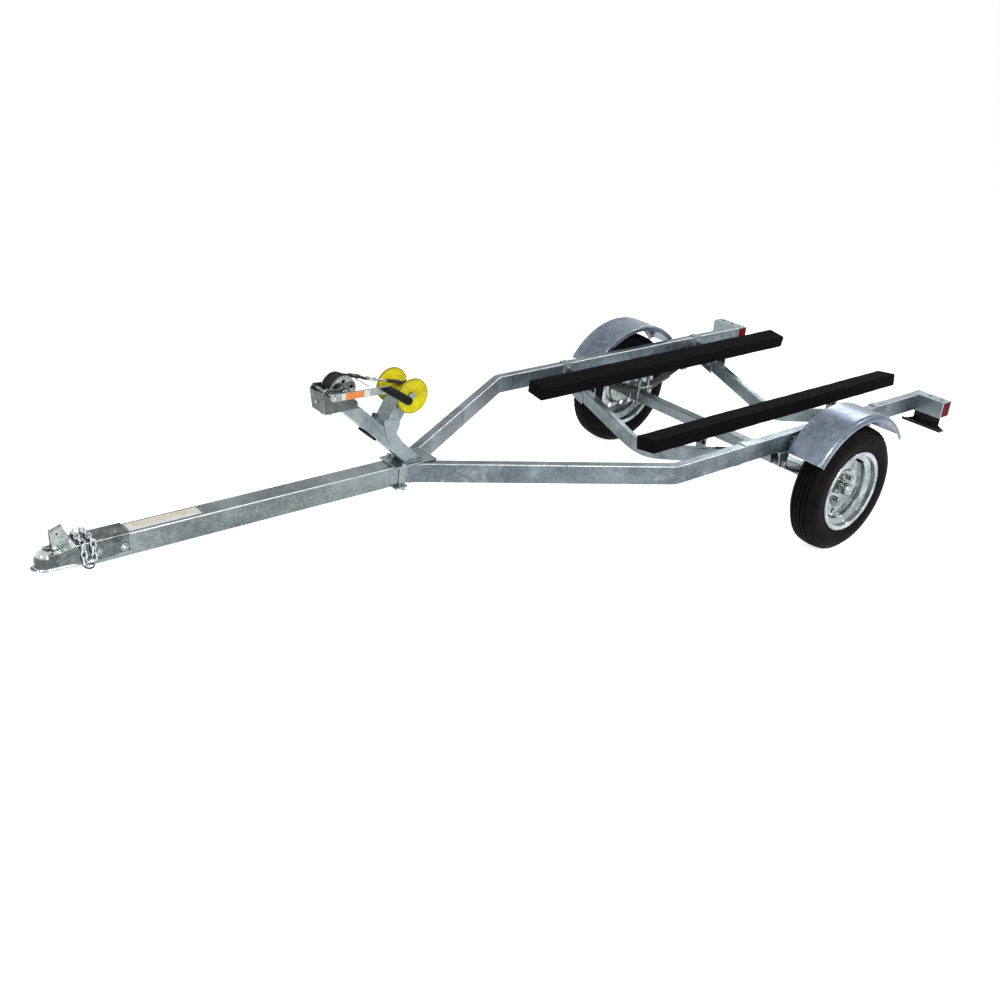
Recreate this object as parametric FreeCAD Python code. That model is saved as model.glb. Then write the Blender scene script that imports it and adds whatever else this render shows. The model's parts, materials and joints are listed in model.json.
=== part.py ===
import FreeCAD, Part
import math
import os
from FreeCAD import Vector

# Boat trailer, millimetres. It is drawn level, with the wheel axis as origin, +X towards the
# coupler, +Y to the left and +Z up. At the end it is pitched until wheels and coupler stand
# on one floor, which is how it parks without a jack.

# ---- frame ----
RAIL_HEIGHT = 76.2
RAIL_WIDTH = 38.1
RAIL_WALL = 3.2
RAIL_CORNER = 5.0
FRAME_HALF_WIDTH = 563.0      # centre line to the outer face of a rail
RAIL_UNDERSIDE = 183.0        # above the wheel axis
BEND_X = 945.0                # where the rails turn in towards the tongue
BEND_RADIUS = 60.0
REAR_X = -693.0               # rear end of the rails
TONGUE_WIDTH = 76.2
TONGUE_WALL = 4.8
TONGUE_REAR_X = 1708.0
JUNCTION_X = 1821.0           # where a rail's outer face meets the tongue's side
COUPLER_BALL_X = 3117.0       # the tow ball's centre
COUPLER_NOSE_REACH = 46.0      # ahead of the ball's centre
COUPLER_LIP_RADIUS = 38.0
DOME_RADIUS = 34.5
SOCKET_DEPTH = 15.0
CHAIN_SPACE_RADIUS = 7.0
COUPLER_PLATE = 3.5
COUPLER_RISE = 14.0           # its lower lip above the tongue's underside
BALL_RADIUS = 25.4
SEAT_GAP = 0.3                # between pieces that only rest on each other

# ---- crossmembers ----
CROSS_FRONT_X = 534.0
CROSS_REAR_X = -364.0
CROSS_DEPTH = 38.1
CROSS_HEIGHT = 63.5
CROSS_WALL = 3.2
CROSS_SLOPE_DEG = 18.5
CROSS_CORNER_Z = -13.0        # where the two undersides would meet without the bend
CROSS_END_Y = FRAME_HALF_WIDTH - 165.0
CROSS_BEND_RADIUS = 300.0
CROSS_CORNER = 9.0
SADDLE_PLATE = 3.0
SADDLE_LENGTH = 46.0
SADDLE_STRAP = 38.0
SADDLE_LAP = 14.0

# ---- bunks ----
BUNK_WIDTH = 96.0
BUNK_THICK = 57.0
BUNK_TILT_DEG = 8.0
BUNK_Y = 335.0
BUNK_Z = 252.0
BUNK_FRONT_X = 896.0
BUNK_REAR_X = -766.0
BUNK_BRACKET_WIDTH = 50.0
BUNK_BRACKET_PLATE = 5.0

# ---- axle and wheels ----
AXLE_SIZE = 50.8
AXLE_WALL = 4.8
AXLE_HALF_LENGTH = FRAME_HALF_WIDTH + 23.0
WHEEL_Y = FRAME_HALF_WIDTH + 117.0     # the tyre's middle plane
TYRE_RADIUS = 282.0
TYRE_WIDTH = 134.0
TYRE_WALL = 9.0
RIM_FLANGE_RADIUS = 180.0
RIM_BEAD_RADIUS = 165.0
RIM_WELL_RADIUS = 142.0
RIM_HALF_WIDTH = 62.0
RIM_WALL = 3.2
DISC_THICK = 4.0
HUB_BORE_RADIUS = 33.0
LUG_CIRCLE_RADIUS = 57.15
LUG_COUNT = 5
LUG_STUD_RADIUS = 6.35
SPINDLE_RADIUS = 14.0
RUNNING_CLEARANCE = 0.05

# ---- springs ----
SPRING_Y = FRAME_HALF_WIDTH - 19.0     # under the rail's middle
SPRING_WIDTH = 40.0
LEAF_THICK = 7.0
LEAF_LENGTHS = (1.0, 0.68, 0.38)   # share of the main leaf's half span
SPRING_FRONT_X = 290.0
SPRING_REAR_X = -290.0
SPRING_EYE_Z = 132.0
SPRING_EYE_RADIUS = 14.0
HANGER_WIDTH = 52.0
HANGER_LENGTH = 70.0
HANGER_PLATE = 4.0
HANGER_PIN_RADIUS = 7.0
TIE_PLATE = 8.0
UBOLT_RADIUS = 5.0
UBOLT_REACH = 38.0

# ---- fenders ----
FENDER_RADIUS = 349.0
FENDER_INNER_Y = FRAME_HALF_WIDTH + 12.0
FENDER_OUTER_Y = FRAME_HALF_WIDTH + 193.0
FENDER_SHEET = 2.5
FENDER_LIP = 28.0
FENDER_LIP_RADIUS = 20.0
FENDER_FRONT_DEG = 32.0
FENDER_REAR_DEG = 144.0
FENDER_STAY_X = (236.0, -236.0)

# ---- rear lights ----
LIGHT_ARM_LENGTH = 129.0      # beyond the rail's outer face
LIGHT_GUARD_DEPTH = 55.0
LIGHT_GUARD_PLATE = 4.0
LIGHT_DEPTH = 66.0
LIGHT_CLEARANCE = 2.0
LICENCE_DROP = 70.0

# ---- winch stand ----
POST_DEPTH = 50.8
POST_WIDTH = 76.2
POST_WALL = 3.2
POST_FOOT_X = 1835.0          # the front face at the foot
POST_LEAN_DEG = 42.8          # above the horizontal
POST_TOP_Z = 520.0
BOW_POST_LEAN_DEG = 30.0      # back from the vertical
BOW_AXIS_X = 1840.0
BOW_AXIS_Z = 536.0
BOW_BOLT_RADIUS = 6.35
BELL_RADIUS = 65.0
BELL_HUB_RADIUS = 24.0
BOW_ROLLER_RADIUS = 28.0
BELL_DEPTH = 30.0
BELL_WALL = 8.0
BASE_PLATE = 6.0
GUSSET_PLATE = 4.0
GUSSET_OUTLINE = ((100, 190), (104, 176), (92, 124), (74, 88), (44, 58), (10, 74), (50, 128), (34, 168))

# ---- winch ----
GEAR_X = 2104.0
GEAR_Z = 591.0
GEAR_MODULE = 2.5
GEAR_TEETH = 40
PINION_TEETH = 11
GEAR_WIDTH = 6.0
PINION_WIDTH = 10.0
GEAR_Y = 31.0
WINCH_SIDE_Y = 38.0
WINCH_PLATE = 4.0
WOUND_RADIUS = 45.0
STRAP_WIDTH = 40.0
STRAP_THICK = 3.0
HOOK_X = 2010.0
HOOK_Z = 612.0
HOOK_LENGTH = 66.0
DRUM_RADIUS = 16.0
DRUM_FLANGE_RADIUS = 49.0
CRANK_Y = 76.0
CRANK_RISE_DEG = 1.0          # of the pinion above the drum, seen from the drum
CRANK_LENGTH = 216.0
CRANK_ARM_WIDTH = 26.0
CRANK_ARM_THICK = 6.0
CRANK_SHAFT_RADIUS = 8.0
GRIP_RADIUS = 15.0
GRIP_LENGTH = 125.0

# ---- worked out ----
RAIL_TOP = RAIL_UNDERSIDE + RAIL_HEIGHT
RAIL_INNER_Y = FRAME_HALF_WIDTH - RAIL_WIDTH
TONGUE_HALF = TONGUE_WIDTH / 2
CROSS_SLOPE = math.tan(math.radians(CROSS_SLOPE_DEG))
PARTS = {}


def box(x0, x1, y0, y1, z0, z1):
    return Part.makeBox(x1 - x0, y1 - y0, z1 - z0, Vector(x0, y0, z0))


def cylinder_y(x, z, radius, y0, y1):
    return Part.makeCylinder(radius, y1 - y0, Vector(x, y0, z), Vector(0, 1, 0))


def cylinder_z(x, y, radius, z0, z1):
    return Part.makeCylinder(radius, z1 - z0, Vector(x, y, z0), Vector(0, 0, 1))


def plate_xz(points, y0, y1):
    outline = [Vector(x, y0, z) for x, z in points]
    return Part.Face(Part.makePolygon(outline + outline[:1])).extrude(Vector(0, y1 - y0, 0))


def plate_yz(points, x0, x1):
    outline = [Vector(x0, y, z) for y, z in points]
    return Part.Face(Part.makePolygon(outline + outline[:1])).extrude(Vector(x1 - x0, 0, 0))


def plate_xy(points, z0, z1):
    outline = [Vector(x, y, z0) for x, y in points]
    return Part.Face(Part.makePolygon(outline + outline[:1])).extrude(Vector(0, 0, z1 - z0))


def ring_y(profile, y):
    """Turn a closed profile of (radius, offset along Y) about the wheel axis."""
    outline = [Vector(r, y + dy, 0) for r, dy in profile]
    face = Part.Face(Part.makePolygon(outline + outline[:1]))
    return face.revolve(Vector(0, 0, 0), Vector(0, 1, 0), 360)


def rounded_wire(points, radii, closed=True):
    """A polyline in a plane with its corners turned into arcs."""
    edges = []
    count = len(points)
    starts, ends = [], []
    for i, corner in enumerate(points):
        if not closed and i in (0, count - 1) or radii[i] == 0:
            starts.append(corner)
            ends.append(corner)
            continue
        to_last = (points[i - 1] - corner).normalize()
        to_next = (points[(i + 1) % count] - corner).normalize()
        half = to_last.getAngle(to_next) / 2
        setback = radii[i] / math.tan(half)
        starts.append(corner + to_last * setback)
        ends.append(corner + to_next * setback)
        middle = corner + (to_last + to_next).normalize() * (radii[i] / math.sin(half) - radii[i])
        edges.append((i, Part.Arc(starts[i], middle, ends[i]).toShape()))
    arcs = dict(edges)
    ordered = []
    for i in range(count):
        if i in arcs:
            ordered.append(arcs[i])
        if i < count - 1 or closed:
            ordered.append(Part.LineSegment(ends[i], starts[(i + 1) % count]).toShape())
    return Part.Wire(ordered)


def band(points, radii, width, normal):
    """A flat strip of even width whose middle line follows the points, in the plane of normal."""
    def offset(side):
        moved = []
        for i, p in enumerate(points):
            before = (p - points[i - 1]).normalize() if i else None
            after = (points[i + 1] - p).normalize() if i < len(points) - 1 else None
            first = before or after
            last = after or before
            n0 = normal.cross(first)
            n1 = normal.cross(last)
            mean = (n0 + n1).normalize()
            moved.append(p + mean * (side * width / 2 / mean.dot(n0)))
        return moved
    def turn(i):
        a = points[i] - points[i - 1]
        b = points[i + 1] - points[i]
        return 1 if normal.dot(a.cross(b)) > 0 else -1
    sides = []
    for side in (1, -1):
        r = [0.0] * len(points)
        for i in range(1, len(points) - 1):
            r[i] = radii[i] - side * turn(i) * width / 2 if radii[i] else 0.0
        sides.append(rounded_wire(offset(side), r, closed=False))
    a, b = sides
    caps = [Part.LineSegment(a.Vertexes[-1].Point, b.Vertexes[-1].Point).toShape(),
            Part.LineSegment(b.Vertexes[0].Point, a.Vertexes[0].Point).toShape()]
    return Part.Face(Part.Wire(Part.__sortEdges__(a.Edges + b.Edges + caps)))


def left_and_right(name, shape):
    PARTS["left_" + name] = shape
    PARTS["right_" + name] = shape.mirror(Vector(0, 0, 0), Vector(0, 1, 0))


# ---- frame ----
def is_bend(edge, flat):
    """An arc edge that lies level along the named axis."""
    level = edge.BoundBox.ZLength if flat == "Z" else edge.BoundBox.XLength
    return level < 0.01 and "Line" not in edge.Curve.TypeId


def rail():
    """One side rail: straight from the rear end to the bend, then in to the tongue's side."""
    lean = math.atan2(FRAME_HALF_WIDTH - TONGUE_HALF, JUNCTION_X - BEND_X)
    half = RAIL_WIDTH / 2
    middle_y = FRAME_HALF_WIDTH - half
    bend = Vector(BEND_X - half * math.tan(lean / 2), middle_y, 0)
    along = Vector(math.cos(lean), -math.sin(lean), 0)
    end = bend + along * ((middle_y - TONGUE_HALF) / math.sin(lean) + RAIL_WIDTH)
    points = [Vector(REAR_X, middle_y, RAIL_UNDERSIDE), bend, end]
    points = [Vector(p.x, p.y, RAIL_UNDERSIDE) for p in points]
    outer = band(points, [0, BEND_RADIUS, 0], RAIL_WIDTH, Vector(0, 0, 1))
    solid = outer.extrude(Vector(0, 0, RAIL_HEIGHT))
    long_edges = [e for e in solid.Edges if e.BoundBox.ZLength < 0.01 and e.Length > RAIL_WIDTH + 1 or is_bend(e, "Z")]
    solid = solid.makeFillet(RAIL_CORNER, long_edges)
    inner = band(points, [0, BEND_RADIUS, 0], RAIL_WIDTH - 2 * RAIL_WALL, Vector(0, 0, 1))
    inner.translate(Vector(0, 0, RAIL_WALL))
    core = inner.extrude(Vector(0, 0, RAIL_HEIGHT - 2 * RAIL_WALL))
    tube = solid.cut(core)
    beside_tongue = box(BEND_X, end.x + 2 * RAIL_WIDTH, -RAIL_WIDTH * 4, TONGUE_HALF,
                        RAIL_UNDERSIDE - 1, RAIL_TOP + 1)
    return tube.cut(beside_tongue)


def square_tube_x(x0, x1, half_y, z0, z1, wall):
    outer = box(x0, x1, -half_y, half_y, z0, z1)
    inner = box(x0 - 1, x1 + 1, -half_y + wall, half_y - wall, z0 + wall, z1 - wall)
    edges = [e for e in outer.Edges if abs(e.Vertexes[0].X - e.Vertexes[-1].X) > 1]
    return outer.makeFillet(wall, edges).cut(inner)


def frame():
    left_and_right("rail", rail())
    PARTS["tongue"] = square_tube_x(TONGUE_REAR_X, COUPLER_BALL_X - 98, TONGUE_HALF,
                                    RAIL_UNDERSIDE, RAIL_TOP, TONGUE_WALL)


# ---- crossmembers ----
def crossmember_middle(y):
    """Height of the tube's middle line at y, beyond the bend."""
    rise = CROSS_HEIGHT / 2 / math.cos(math.radians(CROSS_SLOPE_DEG))
    return CROSS_CORNER_Z + rise + CROSS_SLOPE * abs(y)


def crossmember(x):
    points = [Vector(x - CROSS_DEPTH / 2, y, crossmember_middle(y)) for y in (-CROSS_END_Y, 0, CROSS_END_Y)]
    axis = Vector(1, 0, 0)
    outer = band(points, [0, CROSS_BEND_RADIUS, 0], CROSS_HEIGHT, axis).extrude(axis * CROSS_DEPTH)
    long_edges = [e for e in outer.Edges
                  if is_bend(e, "X") or e.BoundBox.XLength < 0.01 and e.Length > CROSS_HEIGHT + 1]
    outer = outer.makeFillet(CROSS_CORNER, long_edges)
    inner = band(points, [0, CROSS_BEND_RADIUS, 0], CROSS_HEIGHT - 2 * CROSS_WALL, axis)
    inner.translate(axis * CROSS_WALL)
    return outer.cut(inner.extrude(axis * (CROSS_DEPTH - 2 * CROSS_WALL)))


def saddle(x):
    """Hooks over the left rail and holds the crossmember's end between two cheeks."""
    half_height = CROSS_HEIGHT / 2 / math.cos(math.radians(CROSS_SLOPE_DEG))
    inner_y = CROSS_END_Y - SADDLE_LAP
    back_y = RAIL_INNER_Y - SADDLE_PLATE
    reach = SADDLE_LENGTH / 2
    cheek = [(inner_y, crossmember_middle(inner_y) - half_height - 6),
             (inner_y, crossmember_middle(inner_y) + half_height),
             (back_y, crossmember_middle(back_y) + half_height),
             (back_y, crossmember_middle(back_y) - half_height - 6)]
    half = CROSS_DEPTH / 2
    front = plate_yz(cheek, x + half, x + half + SADDLE_PLATE)
    rear = plate_yz(cheek, x - half - SADDLE_PLATE, x - half)
    low = crossmember_middle(back_y) - half_height - 6
    back = box(x - reach, x + reach, back_y, RAIL_INNER_Y, low, RAIL_TOP - 12)
    s = SADDLE_STRAP / 2
    riser = box(x - s, x + s, back_y, RAIL_INNER_Y, RAIL_TOP - 12, RAIL_TOP + SADDLE_PLATE)
    top = box(x - s, x + s, back_y, FRAME_HALF_WIDTH, RAIL_TOP, RAIL_TOP + SADDLE_PLATE)
    return front.fuse([rear, back, riser, top]).removeSplitter()


def bunk_bracket(x):
    """An upright angle from the crossmember's top to the bunk's underside."""
    tilt = math.radians(BUNK_TILT_DEG)
    half = BUNK_BRACKET_WIDTH / 2
    top_rise = CROSS_HEIGHT / 2 / math.cos(math.radians(CROSS_SLOPE_DEG))
    def under(y):
        return BUNK_Z + (y - BUNK_Y) * math.tan(tilt) - BUNK_THICK / 2 / math.cos(tilt)
    y0, y1 = BUNK_Y - half, BUNK_Y + half
    low = [crossmember_middle(y) + top_rise for y in (y0, y1)]
    face_x = x + CROSS_DEPTH / 2 - BUNK_BRACKET_PLATE
    web = plate_yz([(y0, low[0]), (y1, low[1]), (y1, under(y1)), (y0, under(y0))],
                   face_x, face_x + BUNK_BRACKET_PLATE)
    shelf = plate_yz([(y0, under(y0) - BUNK_BRACKET_PLATE), (y1, under(y1) - BUNK_BRACKET_PLATE),
                      (y1, under(y1)), (y0, under(y0))], face_x - 60, face_x + BUNK_BRACKET_PLATE)
    return web.fuse(shelf).removeSplitter()


def crossmembers():
    PARTS["front_crossmember"] = crossmember(CROSS_FRONT_X)
    PARTS["rear_crossmember"] = crossmember(CROSS_REAR_X)
    saddles = [saddle(x) for x in (CROSS_FRONT_X, CROSS_REAR_X)]
    left_and_right("crossmember_saddles", Part.makeCompound(saddles))
    brackets = [bunk_bracket(x) for x in (CROSS_FRONT_X, CROSS_REAR_X)]
    left_and_right("bunk_brackets", Part.makeCompound(brackets))


def bunks():
    plank = box(BUNK_REAR_X, BUNK_FRONT_X, -BUNK_WIDTH / 2, BUNK_WIDTH / 2, -BUNK_THICK / 2, BUNK_THICK / 2)
    edges = [e for e in plank.Edges if e.Length > BUNK_WIDTH * 2]
    plank = plank.makeFillet(6.0, edges)
    plank.rotate(Vector(0, 0, 0), Vector(1, 0, 0), BUNK_TILT_DEG)
    plank.translate(Vector(0, BUNK_Y, BUNK_Z))
    left_and_right("bunk", plank)


# ---- axle, springs ----
def axle():
    half = AXLE_SIZE / 2
    outer = box(-half, half, -AXLE_HALF_LENGTH, AXLE_HALF_LENGTH, -half, half)
    edges = [e for e in outer.Edges if e.Length > AXLE_HALF_LENGTH]
    inner = box(-half + AXLE_WALL, half - AXLE_WALL, -AXLE_HALF_LENGTH + 30, AXLE_HALF_LENGTH - 30,
                -half + AXLE_WALL, half - AXLE_WALL)
    beam = outer.makeFillet(5.0, edges).cut(inner)
    tip = WHEEL_Y + 14
    spindle = cylinder_y(0, 0, SPINDLE_RADIUS, AXLE_HALF_LENGTH - 30, tip)
    collar = cylinder_y(0, 0, SPINDLE_RADIUS + 6, AXLE_HALF_LENGTH - 1, AXLE_HALF_LENGTH + 6)
    other = [s.mirror(Vector(0, 0, 0), Vector(0, 1, 0)) for s in (spindle, collar)]
    PARTS["axle"] = beam.fuse([spindle, collar] + other).removeSplitter()


def spring_curve():
    """Radius and centre height of the main leaf's upper face."""
    top_z = AXLE_SIZE / 2 + SEAT_GAP + LEAF_THICK * len(LEAF_LENGTHS)
    half_span = (SPRING_FRONT_X - SPRING_REAR_X) / 2
    sag = SPRING_EYE_Z - SPRING_EYE_RADIUS + LEAF_THICK - top_z
    radius = (half_span ** 2 + sag ** 2) / (2 * sag)
    return radius, top_z + radius


def leaf(front, rear, centre_z, radius, thick):
    """One leaf: an arc through the seat, hollow side up. It ends at x = front and x = rear."""
    a0 = math.asin(rear / radius)
    a1 = math.asin(front / radius)
    def arc(r):
        centre = Vector(0, 0, centre_z)
        ends = [centre + Vector(r * math.sin(a), 0, -r * math.cos(a)) for a in (a0, 0, a1)]
        return Part.Arc(*ends).toShape(), ends[0], ends[2]
    low, low0, low1 = arc(radius + thick)
    top, top0, top1 = arc(radius)
    wire = Part.Wire(Part.__sortEdges__([low, top, Part.LineSegment(low0, top0).toShape(),
                                         Part.LineSegment(low1, top1).toShape()]))
    face = Part.Face(wire)
    face.translate(Vector(0, SPRING_Y - SPRING_WIDTH / 2, 0))
    return face.extrude(Vector(0, SPRING_WIDTH, 0))


def spring():
    radius, centre_z = spring_curve()
    seat_z = AXLE_SIZE / 2 + SEAT_GAP
    leaves = [leaf(SPRING_FRONT_X, SPRING_REAR_X - 16, centre_z, radius, LEAF_THICK)]
    for i, share in enumerate(LEAF_LENGTHS[1:], 1):
        reach = SPRING_FRONT_X * share
        leaves.append(leaf(reach, -reach, centre_z, radius + i * LEAF_THICK, LEAF_THICK))
    pack = leaves[0].fuse(leaves[1:])
    y0, y1 = SPRING_Y - SPRING_WIDTH / 2, SPRING_Y + SPRING_WIDTH / 2
    pad = box(-46, 46, y0, y1, seat_z, clamp_seat_z())
    eye = cylinder_y(SPRING_FRONT_X, SPRING_EYE_Z, SPRING_EYE_RADIUS, y0, y1)
    bore = cylinder_y(SPRING_FRONT_X, SPRING_EYE_Z, HANGER_PIN_RADIUS + SEAT_GAP, y0 - 1, y1 + 1)
    return pack.fuse([pad, eye]).cut(bore).removeSplitter()


def clamp_seat_z():
    return AXLE_SIZE / 2 + SEAT_GAP + LEAF_THICK * len(LEAF_LENGTHS) + 3.0


def slide_pins():
    """Places (x, z) of the two pins that hold the spring's free end from above and below."""
    radius, centre_z = spring_curve()
    a = math.asin(SPRING_REAR_X / radius)
    over = radius - HANGER_PIN_RADIUS - SEAT_GAP
    under = radius + LEAF_THICK + HANGER_PIN_RADIUS + 1.5
    return [(r * math.sin(a), centre_z - r * math.cos(a)) for r in (over, under)]


def hanger(x, pins):
    """A downward channel under the rail that takes one end of the spring."""
    half_w, half_l = HANGER_WIDTH / 2, HANGER_LENGTH / 2
    low = min(z for _, z in pins) - 16
    cheek = [(x - half_l, RAIL_UNDERSIDE), (x + half_l, RAIL_UNDERSIDE),
             (x + half_l * 0.6, low), (x - half_l * 0.6, low)]
    near = plate_xz(cheek, SPRING_Y + half_w - HANGER_PLATE, SPRING_Y + half_w)
    far = plate_xz(cheek, SPRING_Y - half_w, SPRING_Y - half_w + HANGER_PLATE)
    top = box(x - half_l, x + half_l, SPRING_Y - half_w, SPRING_Y + half_w,
              RAIL_UNDERSIDE - HANGER_PLATE, RAIL_UNDERSIDE)
    bolts = [cylinder_y(px, pz, HANGER_PIN_RADIUS, SPRING_Y - half_w - 3, SPRING_Y + half_w + 3) for px, pz in pins]
    return near.fuse([far, top] + bolts).removeSplitter()


def ubolt(y):
    """A round bar bent under the axle, with both legs standing up past the tie plate."""
    x = AXLE_SIZE / 2 + UBOLT_RADIUS + SEAT_GAP
    low = -AXLE_SIZE / 2 - SEAT_GAP - UBOLT_RADIUS
    top = clamp_seat_z() + UBOLT_REACH
    points = [Vector(-x, y, top), Vector(-x, y, low), Vector(x, y, low), Vector(x, y, top)]
    path = rounded_wire(points, [0, 5.5, 5.5, 0], closed=False)
    ring = Part.Wire(Part.makeCircle(UBOLT_RADIUS, points[0], Vector(0, 0, 1)))
    return path.makePipeShell([ring], True, False)


def axle_clamp():
    """Tie plate on the spring, two U-bolts round the axle with their nuts."""
    seat = clamp_seat_z() + SEAT_GAP
    x = AXLE_SIZE / 2 + UBOLT_RADIUS + SEAT_GAP
    dy = SPRING_WIDTH / 2 + UBOLT_RADIUS + 1
    solid = box(-46, 46, SPRING_Y - dy - 14, SPRING_Y + dy + 14, seat, seat + TIE_PLATE)
    pieces = []
    for y in (SPRING_Y - dy, SPRING_Y + dy):
        pieces.append(ubolt(y))
        pieces += [cylinder_z(s * x, y, UBOLT_RADIUS * 1.9, seat + TIE_PLATE - 1, seat + TIE_PLATE + 9) for s in (-1, 1)]
    return solid.fuse(pieces).removeSplitter()


def suspension():
    left_and_right("leaf_spring", spring())
    hangers = [hanger(SPRING_FRONT_X, [(SPRING_FRONT_X, SPRING_EYE_Z)]), hanger(SPRING_REAR_X, slide_pins())]
    left_and_right("spring_hangers", Part.makeCompound(hangers))
    left_and_right("axle_clamp", axle_clamp())


# ---- wheels ----
def tyre():
    half = TYRE_WIDTH / 2
    bead = RIM_BEAD_RADIUS + SEAT_GAP
    tread = half * 0.62
    seat = RIM_HALF_WIDTH - RIM_WALL - SEAT_GAP
    crown = TYRE_RADIUS
    bulge = (RIM_FLANGE_RADIUS + crown) / 2 - 6
    t = TYRE_WALL
    def wire_points(side):
        return (Vector(bead, side * seat, 0), Vector(RIM_FLANGE_RADIUS, side * seat, 0),
                Vector(bulge, side * half, 0), Vector(crown - 12, side * (tread + 8), 0),
                Vector(crown - 4, side * tread, 0), Vector(crown, 0, 0))
    p = wire_points(1)
    q = wire_points(-1)
    arc = lambda a, b, c: Part.Arc(a, b, c).toShape()
    line = lambda a, b: Part.LineSegment(a, b).toShape()
    inner_top = crown - t - 2
    k = Vector(bulge, half - t, 0)
    m = Vector(bulge, -half + t, 0)
    edges = [line(p[0], p[1]), arc(p[1], p[2], p[3]), line(p[3], p[4]), arc(p[4], p[5], q[4]),
             line(q[4], q[3]), arc(q[3], q[2], q[1]), line(q[1], q[0]),
             line(q[0], Vector(bead, -seat + 12, 0)),
             arc(Vector(bead, -seat + 12, 0), m, Vector(inner_top, -tread + 6, 0)),
             line(Vector(inner_top, -tread + 6, 0), Vector(inner_top, tread - 6, 0)),
             arc(Vector(inner_top, tread - 6, 0), k, Vector(bead, seat - 12, 0)),
             line(Vector(bead, seat - 12, 0), p[0])]
    face = Part.Face(Part.Wire(Part.__sortEdges__(edges)))
    solid = face.revolve(Vector(0, 0, 0), Vector(0, 1, 0), 360)
    solid.translate(Vector(0, WHEEL_Y, 0))
    return solid


def rim():
    """Pressed steel wheel: rolled barrel with a drop well, welded disc with hand holes."""
    w, t = RIM_HALF_WIDTH, RIM_WALL
    f, b, d = RIM_FLANGE_RADIUS, RIM_BEAD_RADIUS, RIM_WELL_RADIUS
    profile = [(f, w), (f, w - t), (b, w - t), (b, w - 22), (d, w - 34), (d, -w + 44),
               (b, -w + 30), (b, -w + t), (f, -w + t), (f, -w),
               (b - t, -w), (b - t, -w + 30), (d - t, -w + 44), (d - t, w - 34), (b - t, w - 22), (b - t, w)]
    barrel = ring_y(profile, WHEEL_Y)
    flat = 76.0
    disc = ring_y([(HUB_BORE_RADIUS, 0), (flat, 0), (flat + 16, 12), (d - t - 14, 12), (d - t, 0),
                   (d - t, DISC_THICK + 2), (d - t - 10, 12 + DISC_THICK), (flat + 14, 12 + DISC_THICK),
                   (flat - 2, DISC_THICK), (HUB_BORE_RADIUS, DISC_THICK)], WHEEL_Y)
    wheel = barrel.fuse(disc)
    holes = []
    for i in range(LUG_COUNT):
        a = 2 * math.pi * i / LUG_COUNT
        x, z = LUG_CIRCLE_RADIUS * math.cos(a), LUG_CIRCLE_RADIUS * math.sin(a)
        holes.append(cylinder_y(x, z, LUG_STUD_RADIUS + SEAT_GAP, WHEEL_Y - 5, WHEEL_Y + 30))
    for i in range(8):
        a = 2 * math.pi * (i + 0.5) / 8
        x, z = 107 * math.cos(a), 107 * math.sin(a)
        holes.append(cylinder_y(x, z, 12.0, WHEEL_Y - 5, WHEEL_Y + 40))
    return wheel.cut(Part.makeCompound(holes)).removeSplitter()


def hub():
    """Flanged hub turning on the spindle, with a pressed dust cap and wheel studs."""
    s = SPINDLE_RADIUS + RUNNING_CLEARANCE
    start = AXLE_HALF_LENGTH + 8 - WHEEL_Y
    cap = 52.0
    profile = [(s, start), (30, start), (30, -14), (74, -14), (74, -SEAT_GAP), (HUB_BORE_RADIUS - 1, -SEAT_GAP),
               (HUB_BORE_RADIUS - 1, 18), (26, 20), (26, cap - 8), (20, cap), (0, cap), (0, 20), (s, 20)]
    body = ring_y(profile, WHEEL_Y)
    studs = []
    for i in range(LUG_COUNT):
        a = 2 * math.pi * i / LUG_COUNT
        x, z = LUG_CIRCLE_RADIUS * math.cos(a), LUG_CIRCLE_RADIUS * math.sin(a)
        studs.append(cylinder_y(x, z, LUG_STUD_RADIUS, WHEEL_Y - 14, WHEEL_Y + 24))
    return body.fuse(studs).removeSplitter()


def lug_nuts():
    nuts = []
    for i in range(LUG_COUNT):
        a = 2 * math.pi * i / LUG_COUNT
        x, z = LUG_CIRCLE_RADIUS * math.cos(a), LUG_CIRCLE_RADIUS * math.sin(a)
        y0 = WHEEL_Y + DISC_THICK + SEAT_GAP
        corners = [(x + 11 * math.cos(k * math.pi / 3), z + 11 * math.sin(k * math.pi / 3)) for k in range(6)]
        nut = plate_xz(corners, y0, y0 + 18)
        nuts.append(nut.cut(cylinder_y(x, z, LUG_STUD_RADIUS + SEAT_GAP, y0 - 1, y0 + 19)))
    return Part.makeCompound(nuts)


def wheels():
    left_and_right("tyre", tyre())
    left_and_right("rim", rim())
    left_and_right("hub", hub())
    left_and_right("lug_nuts", lug_nuts())


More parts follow.
